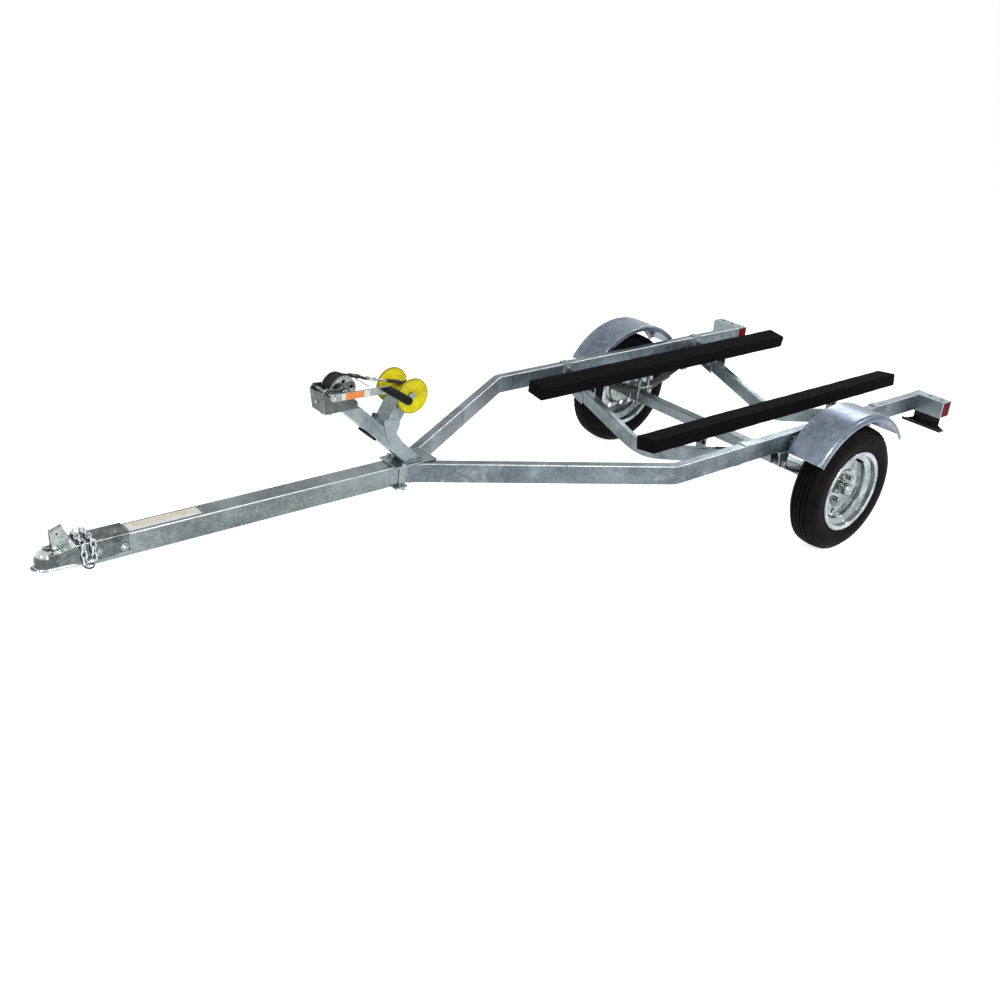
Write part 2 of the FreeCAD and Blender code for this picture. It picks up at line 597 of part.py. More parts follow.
# ---- fenders ----
def fender():
    """A rolled arch whose two edges are turned down in rounded lips, the outer one deeper."""
    r = FENDER_RADIUS
    y0, y1 = FENDER_INNER_Y, FENDER_OUTER_Y
    c = math.sqrt(0.5)
    def curve(t):
        k1, k0 = FENDER_LIP_RADIUS - t, FENDER_LIP_RADIUS * 0.6 - t
        o1 = Vector(r - FENDER_LIP_RADIUS, y1 - FENDER_LIP_RADIUS, 0)
        o0 = Vector(r - FENDER_LIP_RADIUS * 0.6, y0 + FENDER_LIP_RADIUS * 0.6, 0)
        return [Vector(r - FENDER_LIP * 0.9, y0 + t, 0), Vector(o0.x, y0 + t, 0), o0 + Vector(k0 * c, -k0 * c, 0),
                Vector(r - t, o0.y, 0), Vector(r - t, o1.y, 0), o1 + Vector(k1 * c, k1 * c, 0),
                Vector(o1.x, y1 - t, 0), Vector(r - FENDER_LIP, y1 - t, 0)]
    edges = []
    outer, inner = curve(0), curve(FENDER_SHEET)
    for p in (outer, inner):
        edges += [Part.LineSegment(p[0], p[1]).toShape(), Part.Arc(p[1], p[2], p[3]).toShape(),
                  Part.LineSegment(p[3], p[4]).toShape(), Part.Arc(p[4], p[5], p[6]).toShape(),
                  Part.LineSegment(p[6], p[7]).toShape()]
    edges += [Part.LineSegment(outer[0], inner[0]).toShape(), Part.LineSegment(outer[7], inner[7]).toShape()]
    face = Part.Face(Part.Wire(Part.__sortEdges__(edges)))
    face.rotate(Vector(0, 0, 0), Vector(0, 1, 0), -FENDER_FRONT_DEG)
    arch = face.revolve(Vector(0, 0, 0), Vector(0, 1, 0), -(FENDER_REAR_DEG - FENDER_FRONT_DEG))
    holes = [cylinder_y(x, fender_bolt_z(x), 4.3, y0 - 1, y0 + FENDER_SHEET + 1) for x in FENDER_STAY_X]
    return arch.cut(holes)


def fender_bolt_z(x):
    return math.sqrt((FENDER_RADIUS - 18.0) ** 2 - x ** 2)


def fender_stay(x):
    """A stepped strap bolted to the rail's outer face and to the fender's inner lip."""
    t = 5.0
    x0, x1 = x - 17, x + 17
    near, far = FRAME_HALF_WIDTH, FENDER_INNER_Y - SEAT_GAP
    z = fender_bolt_z(x)
    join = min(z - 14, RAIL_TOP - 9)
    foot = box(x0, x1, near, near + t, RAIL_UNDERSIDE + 12, join + t)
    step = box(x0, x1, near, far, join, join + t)
    ear = box(x0, x1, far - t, far, join, z + 12)
    bolt = cylinder_y(x, z, 4.0, far - t - 4, FENDER_INNER_Y + FENDER_SHEET + 7)
    head = cylinder_y(x, z, 6.5, far - t - 4, far - t)
    nut = cylinder_y(x, z, 6.5, FENDER_INNER_Y + FENDER_SHEET + SEAT_GAP, FENDER_INNER_Y + FENDER_SHEET + 6)
    return foot.fuse([step, ear, bolt, head, nut]).removeSplitter()


def fenders():
    left_and_right("fender", fender())
    stays = [fender_stay(x) for x in FENDER_STAY_X]
    left_and_right("fender_stays", Part.makeCompound(stays))


# ---- rear lights ----
def lights():
    x1 = REAR_X
    x0 = REAR_X - LIGHT_GUARD_DEPTH
    y0, y1 = RAIL_INNER_Y, FRAME_HALF_WIDTH + LIGHT_ARM_LENGTH
    p = LIGHT_GUARD_PLATE
    web = box(x1 - p, x1, y0, y1, RAIL_UNDERSIDE, RAIL_TOP)
    top = box(x0, x1, y0, y1, RAIL_TOP - p, RAIL_TOP)
    arm = box(x1, x1 + 5, FRAME_HALF_WIDTH, y1, RAIL_UNDERSIDE, RAIL_TOP)
    left_and_right("light_guard", web.fuse([top, arm]).removeSplitter())
    c = LIGHT_CLEARANCE
    lens = box(x1 - p - SEAT_GAP - LIGHT_DEPTH, x1 - p - SEAT_GAP, y0 + c, y1 - 1,
               RAIL_UNDERSIDE + c, RAIL_TOP - p - c)
    vertical = [e for e in lens.Edges if abs(e.Vertexes[0].Z - e.Vertexes[-1].Z) > 10]
    left_and_right("tail_light", lens.makeFillet(6.0, vertical))
    PARTS["licence_bracket"] = licence_bracket(x0, x1)


def licence_bracket(x0, x1):
    """Hangs under the left light: a narrow neck and a wide foot that takes the number plate."""
    mid = RAIL_INNER_Y + 76.0
    top_z = RAIL_UNDERSIDE
    foot_z = top_z - LICENCE_DROP
    neck = [(mid - 66, top_z), (mid + 66, top_z), (mid + 66, foot_z + 16), (mid + 100, foot_z),
            (mid - 100, foot_z), (mid - 66, foot_z + 16)]
    drop = plate_yz(neck, x0 + 4, x0 + 7)
    flange = box(x0 + 4, x1 + 5, mid - 66, mid + 66, top_z - 3, top_z)
    foot = box(x0 + 4, x1 - 8, mid - 100, mid + 100, foot_z, foot_z + 3)
    lip = box(x1 - 11, x1 - 8, mid - 100, mid + 100, foot_z, foot_z + 13)
    return flange.fuse([drop, foot, lip]).removeSplitter()


# ---- winch stand ----
def leaning_tube(top, back, along, length, width, depth, wall):
    """Rectangular tube down from its top end, whose depth runs from top along back."""
    def bar(inset):
        p = top + back * inset
        q = top + back * (depth - inset)
        half = width / 2 - inset
        outline = [Vector(c.x, -half, c.z) for c in (p, q, q - along * length, p - along * length)]
        return Part.Face(Part.makePolygon(outline + outline[:1])).extrude(Vector(0, 2 * half, 0))
    return bar(0).cut(bar(wall))


def winch_post_axes():
    a = math.radians(POST_LEAN_DEG)
    return Vector(math.cos(a), 0, math.sin(a)), Vector(-math.sin(a), 0, math.cos(a))


def winch_post():
    """Leans forward from its foot plate and is cut level at both ends."""
    along, back = winch_post_axes()
    low = RAIL_TOP + BASE_PLATE
    foot = Vector(POST_FOOT_X, 0, low)
    tube = leaning_tube(foot + along * 600, back, along, 800, POST_WIDTH, POST_DEPTH, POST_WALL)
    return tube.common(box(POST_FOOT_X - 500, POST_FOOT_X + 900, -100, 100, low, POST_TOP_Z))


def bow_post():
    """Leans back from the winch post; two ears at its top hold the roller's bolt."""
    lean = math.radians(BOW_POST_LEAN_DEG)
    along = Vector(-math.sin(lean), 0, math.cos(lean))
    back = Vector(-math.cos(lean), 0, -math.sin(lean))
    axis = Vector(BOW_AXIS_X, 0, BOW_AXIS_Z)
    top = axis - along * (BOW_ROLLER_RADIUS + 6) - back * (POST_DEPTH / 2)
    tube = leaning_tube(top, back, along, 420, POST_WIDTH, POST_DEPTH, POST_WALL)
    ears = []
    for s in (-1, 1):
        y0 = POST_WIDTH / 2 - 5 if s > 0 else -POST_WIDTH / 2
        ear = cylinder_y(axis.x, axis.z, 17.0, y0, y0 + 5)
        p, q = top + back * 8, top + back * (POST_DEPTH - 8)
        low = along * 30
        outline = [p - low, q - low, q, axis + back * 17, axis - back * 17, p]
        ears.append(ear.fuse(plate_xz([(v.x, v.z) for v in outline], y0, y0 + 5)))
    post_along, post_back = winch_post_axes()
    line = Vector(POST_FOOT_X, 0, RAIL_TOP + BASE_PLATE) + post_back * POST_DEPTH
    corners = [line - post_along * 1500, line + post_along * 1500,
               line + post_along * 1500 - post_back * 1500, line - post_along * 1500 - post_back * 1500]
    below = plate_xz([(c.x, c.z) for c in corners], -100, 100)
    bolt_hole = cylinder_y(axis.x, axis.z, BOW_BOLT_RADIUS + SEAT_GAP, -100, 100)
    solid = tube.fuse(ears).cut(below).cut(bolt_hole)
    cheeks = []
    for y0 in (POST_WIDTH / 2, -POST_WIDTH / 2 - GUSSET_PLATE):
        x, z = POST_FOOT_X, RAIL_TOP + BASE_PLATE
        cheek = plate_xz([(x + dx, z + dz) for dx, dz in GUSSET_OUTLINE], y0, y0 + GUSSET_PLATE)
        cheeks.append(cheek)
    return solid.fuse(cheeks).removeSplitter()


def post_pad():
    """Rubber stop on the winch post's front face."""
    along, back = winch_post_axes()
    foot = Vector(POST_FOOT_X, 0, RAIL_TOP + BASE_PLATE)
    p = foot + along * 172 - back * SEAT_GAP
    corners = [p, p + along * 50, p + along * 50 - back * 8, p - back * 8]
    return plate_xz([(c.x, c.z) for c in corners], -30, 30)


def stand_base():
    """Foot plate on the tongue, cheeks down its sides and a plate bolted up from below."""
    x0, x1 = TONGUE_REAR_X + 4, POST_FOOT_X + 55
    half = TONGUE_HALF + 20
    top = plate_xy([(x0, -half), (x1, -TONGUE_HALF - 18), (x1, TONGUE_HALF + 18), (x0, half)],
                   RAIL_TOP, RAIL_TOP + BASE_PLATE)
    low_z = RAIL_UNDERSIDE - BASE_PLATE
    y = TONGUE_HALF + 10
    x = POST_FOOT_X + 17
    pieces = [box(x - 14, x1, -y - 9, y + 9, low_z, RAIL_UNDERSIDE)]
    for s in (-1, 1):
        inner, outer = s * TONGUE_HALF, s * (TONGUE_HALF + 5)
        pieces.append(box(x - 14, x + 14, min(inner, outer), max(inner, outer), low_z, RAIL_TOP + 1))
        pieces.append(cylinder_z(x, s * y, 5.0, low_z - 12, low_z + 1))
        pieces.append(cylinder_z(x, s * y, 8.5, low_z - 8, low_z + 1))
        pieces.append(cylinder_z(x, s * y, 8.5, RAIL_TOP + BASE_PLATE - 1, RAIL_TOP + 14))
    return top.fuse(pieces).removeSplitter()


def bell():
    """A dished bow bell, hub towards the post and rim outwards."""
    r, h, w, d = BELL_RADIUS, BELL_HUB_RADIUS, BELL_WALL, BELL_DEPTH
    bore = BOW_BOLT_RADIUS + RUNNING_CLEARANCE
    profile = [(bore, 0), (h, 0), (h, 8), (h + 10, 12), (r, d * 0.7), (r, d), (r - w, d),
               (h + 4, 18), (h - 6, 16), (bore, 16)]
    solid = ring_y(profile, POST_WIDTH / 2 + 1.0)
    solid.translate(Vector(BOW_AXIS_X, 0, BOW_AXIS_Z))
    return solid


def bow_roller():
    half = POST_WIDTH / 2 - 5 - 1.0
    bore = BOW_BOLT_RADIUS + RUNNING_CLEARANCE
    r = BOW_ROLLER_RADIUS
    solid = ring_y([(bore, -half), (r, -half), (r - 4, 0), (r, half), (bore, half)], 0)
    solid.translate(Vector(BOW_AXIS_X, 0, BOW_AXIS_Z))
    return solid


def bow_bolt():
    y = POST_WIDTH / 2 + 1.0 + 16
    shaft = cylinder_y(BOW_AXIS_X, BOW_AXIS_Z, BOW_BOLT_RADIUS, -y - 14, y + 14)
    nuts = [cylinder_y(BOW_AXIS_X, BOW_AXIS_Z, 12.0, y + 1, y + 11),
            cylinder_y(BOW_AXIS_X, BOW_AXIS_Z, 12.0, -y - 11, -y - 1)]
    return shaft.fuse(nuts)


def winch_stand():
    PARTS["winch_post"] = winch_post()
    PARTS["bow_post"] = bow_post()
    PARTS["stand_base"] = stand_base()
    PARTS["post_pad"] = post_pad()
    left_and_right("bow_bell", bell())
    PARTS["bow_roller"] = bow_roller()
    PARTS["bow_bolt"] = bow_bolt()


# ---- winch ----
def toothed(module, teeth, bore, y0, y1, turn_deg):
    """Spur gear with straight-sided teeth."""
    pitch = module * teeth / 2
    tip, root = pitch + module, pitch - 1.25 * module
    step = 2 * math.pi / teeth
    points = []
    for i in range(teeth):
        a = i * step + math.radians(turn_deg)
        for r, share in ((root, -0.31), (tip, -0.11), (tip, 0.11), (root, 0.31)):
            points.append((r * math.cos(a + share * step), r * math.sin(a + share * step)))
    gear = plate_xz(points, y0, y1)
    return gear.cut(cylinder_y(0, 0, bore, y0 - 1, y1 + 1)) if bore else gear


def crank_axis():
    distance = GEAR_MODULE * (GEAR_TEETH + PINION_TEETH) / 2
    rise = math.radians(CRANK_RISE_DEG)
    return GEAR_X + distance * math.cos(rise), GEAR_Z + distance * math.sin(rise)


def winch_gear():
    y0, y1 = GEAR_Y - GEAR_WIDTH / 2, GEAR_Y + GEAR_WIDTH / 2
    gear = toothed(GEAR_MODULE, GEAR_TEETH, DRUM_RADIUS, y0, y1, CRANK_RISE_DEG)
    holes = []
    for i in range(5):
        a = 2 * math.pi * (i + 0.25) / 5
        holes.append(cylinder_y(33 * math.cos(a), 33 * math.sin(a), 7.0, y0 - 1, y1 + 1))
    gear = gear.cut(holes)
    gear.translate(Vector(GEAR_X, 0, GEAR_Z))
    return gear


def winch_drum():
    y1 = GEAR_Y - GEAR_WIDTH / 2
    s = CRANK_SHAFT_RADIUS
    core = cylinder_y(GEAR_X, GEAR_Z, DRUM_RADIUS, -WINCH_SIDE_Y + 3, y1 + GEAR_WIDTH)
    wound = cylinder_y(GEAR_X, GEAR_Z, WOUND_RADIUS, -27, y1 - 2)
    flange = cylinder_y(GEAR_X, GEAR_Z, DRUM_FLANGE_RADIUS, -31, -27.5)
    shaft_hole = cylinder_y(GEAR_X, GEAR_Z, s + RUNNING_CLEARANCE, -60, 60)
    return core.fuse([flange]).cut(shaft_hole).removeSplitter(), wound.cut(
        cylinder_y(GEAR_X, GEAR_Z, DRUM_RADIUS, -60, 60))


def winch_frame():
    """A channel: two side plates joined by a base and a short front web, and the drum's fixed axle."""
    cx, cz = crank_axis()
    z = POST_TOP_Z
    p = WINCH_PLATE
    low, high = Vector(cx + 12, 0, z), Vector(cx + 22, 0, cz + 2)
    side = [(GEAR_X - 54, z), (low.x, z), (high.x, high.z), (cx + 10, cz + 17), (cx - 30, cz + 13),
            (GEAR_X + 16, GEAR_Z + 12), (GEAR_X, GEAR_Z + 18), (GEAR_X - 16, GEAR_Z + 12),
            (GEAR_X - 30, z + 49), (GEAR_X - 54, z + 25)]
    near = plate_xz(side, WINCH_SIDE_Y, WINCH_SIDE_Y + p)
    far = plate_xz(side, -WINCH_SIDE_Y - p, -WINCH_SIDE_Y)
    base = box(GEAR_X - 54, low.x, -WINCH_SIDE_Y, WINCH_SIDE_Y, z, z + p)
    top = low + (high - low) * 0.66
    web = plate_xz([(low.x, z), (top.x, top.z), (top.x - p, top.z), (low.x - p, z)], -WINCH_SIDE_Y, WINCH_SIDE_Y)
    hole = cylinder_y(cx, cz, CRANK_SHAFT_RADIUS + RUNNING_CLEARANCE, -100, 100)
    axle = cylinder_y(GEAR_X, GEAR_Z, CRANK_SHAFT_RADIUS, -WINCH_SIDE_Y - p - 6, WINCH_SIDE_Y + p + 6)
    return near.fuse([far, base, web]).cut(hole).fuse(axle).removeSplitter()


def winch_crank():
    cx, cz = crank_axis()
    shaft = cylinder_y(cx, cz, CRANK_SHAFT_RADIUS, -WINCH_SIDE_Y - WINCH_PLATE - 8, CRANK_Y + CRANK_ARM_THICK)
    half_step = 180.0 / PINION_TEETH
    pinion = toothed(GEAR_MODULE, PINION_TEETH, 0, GEAR_Y - PINION_WIDTH / 2, GEAR_Y + PINION_WIDTH / 2,
                     180.0 + CRANK_RISE_DEG + half_step)
    pinion.translate(Vector(cx, 0, cz))
    h = CRANK_ARM_WIDTH / 2
    arm = box(cx - CRANK_LENGTH, cx, CRANK_Y, CRANK_Y + CRANK_ARM_THICK, cz - h, cz + h)
    ends = [cylinder_y(x, cz, h, CRANK_Y, CRANK_Y + CRANK_ARM_THICK) for x in (cx - CRANK_LENGTH, cx)]
    pin = cylinder_y(cx - CRANK_LENGTH, cz, 6.0, CRANK_Y, CRANK_Y + CRANK_ARM_THICK + GRIP_LENGTH - 15)
    arm = arm.fuse(ends + [pin])
    arm.rotate(Vector(cx, 0, cz), Vector(0, 1, 0), -2.0)
    return shaft.fuse([pinion, arm]).removeSplitter()


def crank_grip():
    cx, cz = crank_axis()
    y0 = CRANK_Y + CRANK_ARM_THICK + SEAT_GAP
    grip = cylinder_y(cx - CRANK_LENGTH, cz, GRIP_RADIUS, y0, y0 + GRIP_LENGTH)
    grip = grip.makeFillet(5.0, [e for e in grip.Edges if len(e.Vertexes) == 1])
    grip = grip.cut(cylinder_y(cx - CRANK_LENGTH, cz, 6.0 + SEAT_GAP, y0 - 1, y0 + GRIP_LENGTH - 12))
    grip.rotate(Vector(cx, 0, cz), Vector(0, 1, 0), -2.0)
    return grip


def strap():
    """Webbing off the top of the wound roll to the hook, and the hook's own loop to the roller."""
    r = WOUND_RADIUS + SEAT_GAP
    t = STRAP_THICK
    end = Vector(HOOK_X, 0, HOOK_Z)
    away = end - Vector(GEAR_X, 0, GEAR_Z)
    bearing = math.atan2(away.z, away.x) - math.acos(r / away.Length)
    out = Vector(math.cos(bearing), 0, math.sin(bearing))
    start = Vector(GEAR_X, 0, GEAR_Z) + out * r
    half = STRAP_WIDTH / 2
    webbing = plate_xz([(v.x, v.z) for v in (start, start + out * t, end + out * t, end)], -half, half)
    ahead = (end - start).normalize()
    tip = end + ahead * HOOK_LENGTH
    gap = ahead * SEAT_GAP
    side = out * 5
    bars = []
    for y in (-9.0, 5.0):
        corners = [end + gap - side, tip - side, tip + side, end + gap + side]
        bars.append(plate_xz([(v.x, v.z) for v in corners], y, y + 4))
    for p in (end + gap, tip - ahead * 8):
        corners = [p - side, p + ahead * 8 - side, p + ahead * 8 + side, p + side]
        bars.append(plate_xz([(v.x, v.z) for v in corners], -9, 9))
    hook = bars[0].fuse(bars[1:]).removeSplitter()
    top = BOW_AXIS_Z + BOW_ROLLER_RADIUS + SEAT_GAP
    back = [tip + ahead * 1.5 - out * 2, Vector(BOW_AXIS_X + 5, 0, top), Vector(BOW_AXIS_X - 20, 0, top)]
    up = Vector(0, 0, t)
    corners = back + [p + up for p in reversed(back)]
    loop = plate_xz([(v.x, v.z) for v in corners], -10, 10)
    return webbing, hook, loop


def winch():
    PARTS["winch_frame"] = winch_frame()
    drum, wound = winch_drum()
    PARTS["winch_drum"] = drum
    PARTS["wound_strap"] = wound
    PARTS["winch_gear"] = winch_gear()
    PARTS["winch_crank"] = winch_crank()
    PARTS["crank_grip"] = crank_grip()
    PARTS["winch_strap"], PARTS["strap_hook"], PARTS["hook_loop"] = strap()


# ---- coupler ----
def coupler():
    """Pressed ball coupler: a channel over the tongue, a falling neck and a domed ball socket."""
    low, top = RAIL_UNDERSIDE + COUPLER_RISE, RAIL_TOP + COUPLER_PLATE
    x, t = COUPLER_BALL_X, COUPLER_PLATE
    x_back, x_neck = x - 247, x - 87
    half = TONGUE_HALF + t
    dome = DOME_RADIUS
    sleeve = box(x_back, x_neck, -half, half, low, top)
    corners = [e for e in sleeve.Edges if e.BoundBox.ZMin > top - 0.01 and e.BoundBox.XLength > 10]
    inside = box(x_back - 1, x_neck + 1, -half + t, half - t, low - 1, top - t)
    sleeve = sleeve.makeFillet(t - 0.5, corners).cut(inside)
    def neck(inset, drop):
        plan = [(x_neck, -half + inset), (x, -dome + 3 + inset), (x, dome - 3 - inset), (x_neck, half - inset)]
        side = [(x_neck - 1, low - 2), (x + 1, low - 2), (x + 1, top - 16.7 - drop), (x - 36, top - 13.7 - drop),
                (x - 82, top - drop), (x_neck - 1, top - drop)]
        return plate_xy(plan, low - 1 if inset else low, top + 1).common(plate_xz(side, -60, 60))
    hollow = neck(t, t).cut(box(x - dome - 2, x + 60, -60, 60, 0, top))
    lip_plan = [(x - 90, -half + 2), (x, -COUPLER_LIP_RADIUS), (x, COUPLER_LIP_RADIUS), (x - 90, half - 2)]
    lip = plate_xy(lip_plan, low, low + t).cut(hollow)
    nose = cylinder_z(x, 0, COUPLER_LIP_RADIUS, low, low + t)
    end = x + COUPLER_NOSE_REACH
    point = plate_xy([(x + 24, -29), (end, -9), (end, 9), (x + 24, 29)], low, low + t)
    socket_z = low + SOCKET_DEPTH
    cap = turned_z(x, [(0, low), (dome, low), (dome, low + 24.5)], dome)
    r = BALL_RADIUS + 0.8
    socket = turned_z(x, [(0, low - 2), (r, low - 2), (r, socket_z)], r)
    shell = neck(0, 0).cut(hollow).fuse([sleeve, lip, nose, point, cap])
    return shell.cut(socket).removeSplitter()


def turned_z(x, points, radius):
    """A straight-sided plug with a round top, turned about the upright line at x."""
    p = [Vector(r, 0, z) for r, z in points]
    c = math.sqrt(0.5)
    centre_z = points[-1][1]
    crown = Vector(0, 0, centre_z + radius)
    shoulder = Vector(radius * c, 0, centre_z + radius * c)
    edges = [Part.LineSegment(p[i], p[i + 1]).toShape() for i in range(len(p) - 1)]
    edges += [Part.Arc(p[-1], shoulder, crown).toShape(), Part.LineSegment(crown, p[0]).toShape()]
    solid = Part.Face(Part.Wire(edges)).revolve(Vector(0, 0, 0), Vector(0, 0, 1), 360)
    solid.translate(Vector(x, 0, 0))
    return solid


def coupler_latch():
    """Locking lever that stands on the coupler's neck: two cheeks folded from one plate."""
    x, z = COUPLER_BALL_X, RAIL_TOP + COUPLER_PLATE
    outline = [(-75, -1.5), (-36, -13.1), (-24, -13.9), (-20, -10.2), (-17.6, 45.7), (-56.4, 59.8), (-60.4, 46.3),
               (-69.5, 28.3)]
    points = [(x + dx, z + dz) for dx, dz in outline]
    near = plate_xz(points, 7, 10)
    far = plate_xz(points, -10, -7)
    front, rear = points[4], points[5]
    fold = plate_xz([front, rear, (rear[0] - 0.9, rear[1] - 3), (front[0] - 0.9, front[1] - 3)], -7, 7)
    pin = cylinder_y(x - 46, z + 2.3, 5.0, -13, 13)
    lock_hole = cylinder_y(x - 38, z + 38.3, 3.5, -20, 20)
    return near.fuse([far, fold, pin]).cut(lock_hole).removeSplitter()


def safety_chain():
    """Space of the chain laid twice over the coupler, hanging down both sides."""
    r = CHAIN_SPACE_RADIUS
    x0, x1 = COUPLER_BALL_X - 100, COUPLER_BALL_X - 130
    y = TONGUE_HALF + COUPLER_PLATE + r + SEAT_GAP
    top = RAIL_TOP + COUPLER_PLATE + r + SEAT_GAP
    low = RAIL_UNDERSIDE + COUPLER_RISE + 4
    points = [Vector(x0, -y, low), Vector(x0, -y, top), Vector(x0, y, top), Vector(x0, y, low),
              Vector(x1, y, low), Vector(x1, y, top), Vector(x1, -y, top), Vector(x1, -y, low)]
    path = rounded_wire(points, [0] + [10.0] * 6 + [0], closed=False)
    ring = Part.Wire(Part.makeCircle(r, points[0], Vector(0, 0, 1)))
    return path.makePipeShell([ring], True, False)


def front_end():
    PARTS["coupler"] = coupler()
    PARTS["coupler_latch"] = coupler_latch()
    PARTS["safety_chain"] = safety_chain()


def parking_pitch():
    """Angle about the wheel axis that brings the coupler's underside down to the floor."""
    low = RAIL_UNDERSIDE + COUPLER_RISE
    nose = COUPLER_BALL_X + COUPLER_NOSE_REACH
    reach = math.hypot(nose, low)
    return math.degrees(math.atan2(low, nose) + math.asin(TYRE_RADIUS / reach))


frame()
crossmembers()
bunks()
axle()
suspension()
wheels()
fenders()
lights()
winch_stand()
winch()
front_end()

pitch = parking_pitch()
whole = None
for name in PARTS:
    PARTS[name].rotate(Vector(0, 0, 0), Vector(0, 1, 0), pitch)
    whole = PARTS[name].BoundBox if whole is None else whole.united(PARTS[name].BoundBox)
shift = Vector(-(whole.XMin + whole.XMax) / 2, -(whole.YMin + whole.YMax) / 2, TYRE_RADIUS)

os.makedirs("parts", exist_ok=True)
for name, shape in PARTS.items():
    shape.translate(shift)
    shape.exportStep("parts/" + name + ".step")
print("pitch", round(pitch, 4), "shift", [round(v, 4) for v in shift], "bbox", whole)
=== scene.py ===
import bmesh
import bpy
import json
import math
from mathutils import Matrix, Vector


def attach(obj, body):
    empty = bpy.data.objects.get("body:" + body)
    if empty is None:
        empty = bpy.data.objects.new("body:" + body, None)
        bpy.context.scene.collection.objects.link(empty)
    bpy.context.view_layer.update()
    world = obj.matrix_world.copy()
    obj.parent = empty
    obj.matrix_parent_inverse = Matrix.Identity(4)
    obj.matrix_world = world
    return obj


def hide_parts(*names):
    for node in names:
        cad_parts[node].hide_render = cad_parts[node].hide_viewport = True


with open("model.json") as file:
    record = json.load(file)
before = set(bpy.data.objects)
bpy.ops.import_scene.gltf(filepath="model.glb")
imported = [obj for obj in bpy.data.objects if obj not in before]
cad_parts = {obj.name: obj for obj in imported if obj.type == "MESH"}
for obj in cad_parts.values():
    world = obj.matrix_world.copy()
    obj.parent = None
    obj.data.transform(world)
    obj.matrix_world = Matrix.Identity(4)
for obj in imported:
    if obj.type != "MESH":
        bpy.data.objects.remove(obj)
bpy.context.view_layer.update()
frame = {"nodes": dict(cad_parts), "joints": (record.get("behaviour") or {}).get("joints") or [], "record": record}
record = frame["record"]
nodes = frame["nodes"]

# The trailer is described level and in millimetres, from the middle of its wheel axis: +X forward,
# +Y left, +Z up. PARKED turns that into the parked pose on its coupler, in metres.
hub_place = next(j for j in frame["joints"] if j["name"] == "left_wheel_spin")["pos_m"]
socket_axis = next(m for m in record["mounts"] if m["name"] == "ball_socket")["axis"]
pitch = math.atan2(-socket_axis[0], -socket_axis[2])
PARKED = (Matrix.Translation((hub_place[0], 0, hub_place[2])) @ Matrix.Rotation(pitch, 4, "Y")
          @ Matrix.Scale(0.001, 4))
SIDES = (("left", 1), ("right", -1))
UP, DOWN, AHEAD, BACK = (0, 0, 1), (0, 0, -1), (1, 0, 0), (-1, 0, 0)
OUT, IN = (0, 1, 0), (0, -1, 0)
FULL_TURN = 2 * math.pi

# sizes shared with the frame, in millimetres
RAIL_TOP, RAIL_UNDERSIDE, RAIL_INNER_Y = 259.2, 183.0, 524.9
CROSSMEMBERS_X, CROSSMEMBER_HALF, SADDLE_THICK = (534.0, -364.0), 19.05, 3.0
SPRING_PIN_X, U_BOLT_X, GUARD_X = 290.0, 30.7, -747.0
WHEEL_Y, TYRE_RADIUS, TYRE_WIDTH = 680.0, 282.0, 134.0
RIM_FLANGE_RADIUS, RIM_BEAD_RADIUS, STUD_CIRCLE, VALVE_CIRCLE = 180.0, 165.0, 57.15, 137.0
BUNK = dict(width=96.0, thick=57.0, tilt=8.0, y=335.0, z=252.0, front=896.0, rear=-766.0)
COUPLER_BALL_X, COUPLER_LOW, COUPLER_HALF, COUPLER_NOSE = 3117.0, 197.0, 41.6, 34.0
GEAR_X, GEAR_Z, CRANK_X, CRANK_Z = 2104.0, 591.0, 2167.74, 592.11
CRANK_TILT, CRANK_FACE_Y, GRIP_REACH = math.radians(2), 82.02, 216
BOW_X, BOW_Z, BELL_Y = 1840.0, 536.0, 39.1
HOOK_X, HOOK_Z, HOOK_LENGTH, LOOP_BEND = 2010.0, 612.0, 66.0, (1845.0, 565.8)
ROLL_RADIUS, STRAP_WIDE, HALF_STRAP = 45.3, 40.0, 1.5


# ---- making meshes ----
def parked(mesh):
    mesh.transform(PARKED)
    mesh.update()
    return mesh


def piece(name, mesh, finish, body="frame", replaces=(), smooth=True):
    """A named piece in one finish, riding on a body and standing for the nodes it replaces."""
    obj = bpy.data.objects.new(name, mesh)
    bpy.context.collection.objects.link(obj)
    mesh.materials.clear()
    mesh.materials.append(finish)
    for polygon in mesh.polygons:
        polygon.use_smooth = smooth
    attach(obj, body)
    if replaces:
        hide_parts(*replaces)


def mesh_from(bm, name, sharp_deg):
    """A parked mesh from a level one, merged, facing outwards, with its sharp edges marked."""
    bmesh.ops.remove_doubles(bm, verts=bm.verts, dist=0.001)
    bmesh.ops.recalc_face_normals(bm, faces=bm.faces)
    for edge in bm.edges:
        if len(edge.link_faces) == 2 and edge.calc_face_angle(0) > math.radians(sharp_deg):
            edge.smooth = False
    mesh = bpy.data.meshes.new(name)
    bm.to_mesh(mesh)
    bm.free()
    return parked(mesh)


def skin(bm, rings, looped=False):
    """Faces between each ring of vertices and the next, capped unless the last meets the first."""
    following = rings[1:] + rings[:1] if looped else rings[1:]
    for ring, after in zip(rings, following):
        for k in range(len(ring)):
            m = (k + 1) % len(ring)
            bm.faces.new((ring[k], ring[m], after[m], after[k]))
    if not looped:
        bm.faces.new(rings[0][::-1])
        bm.faces.new(rings[-1])


def circle(radius, steps):
    angles = (FULL_TURN * k / steps for k in range(steps))
    return [(radius * math.cos(a), radius * math.sin(a)) for a in angles]


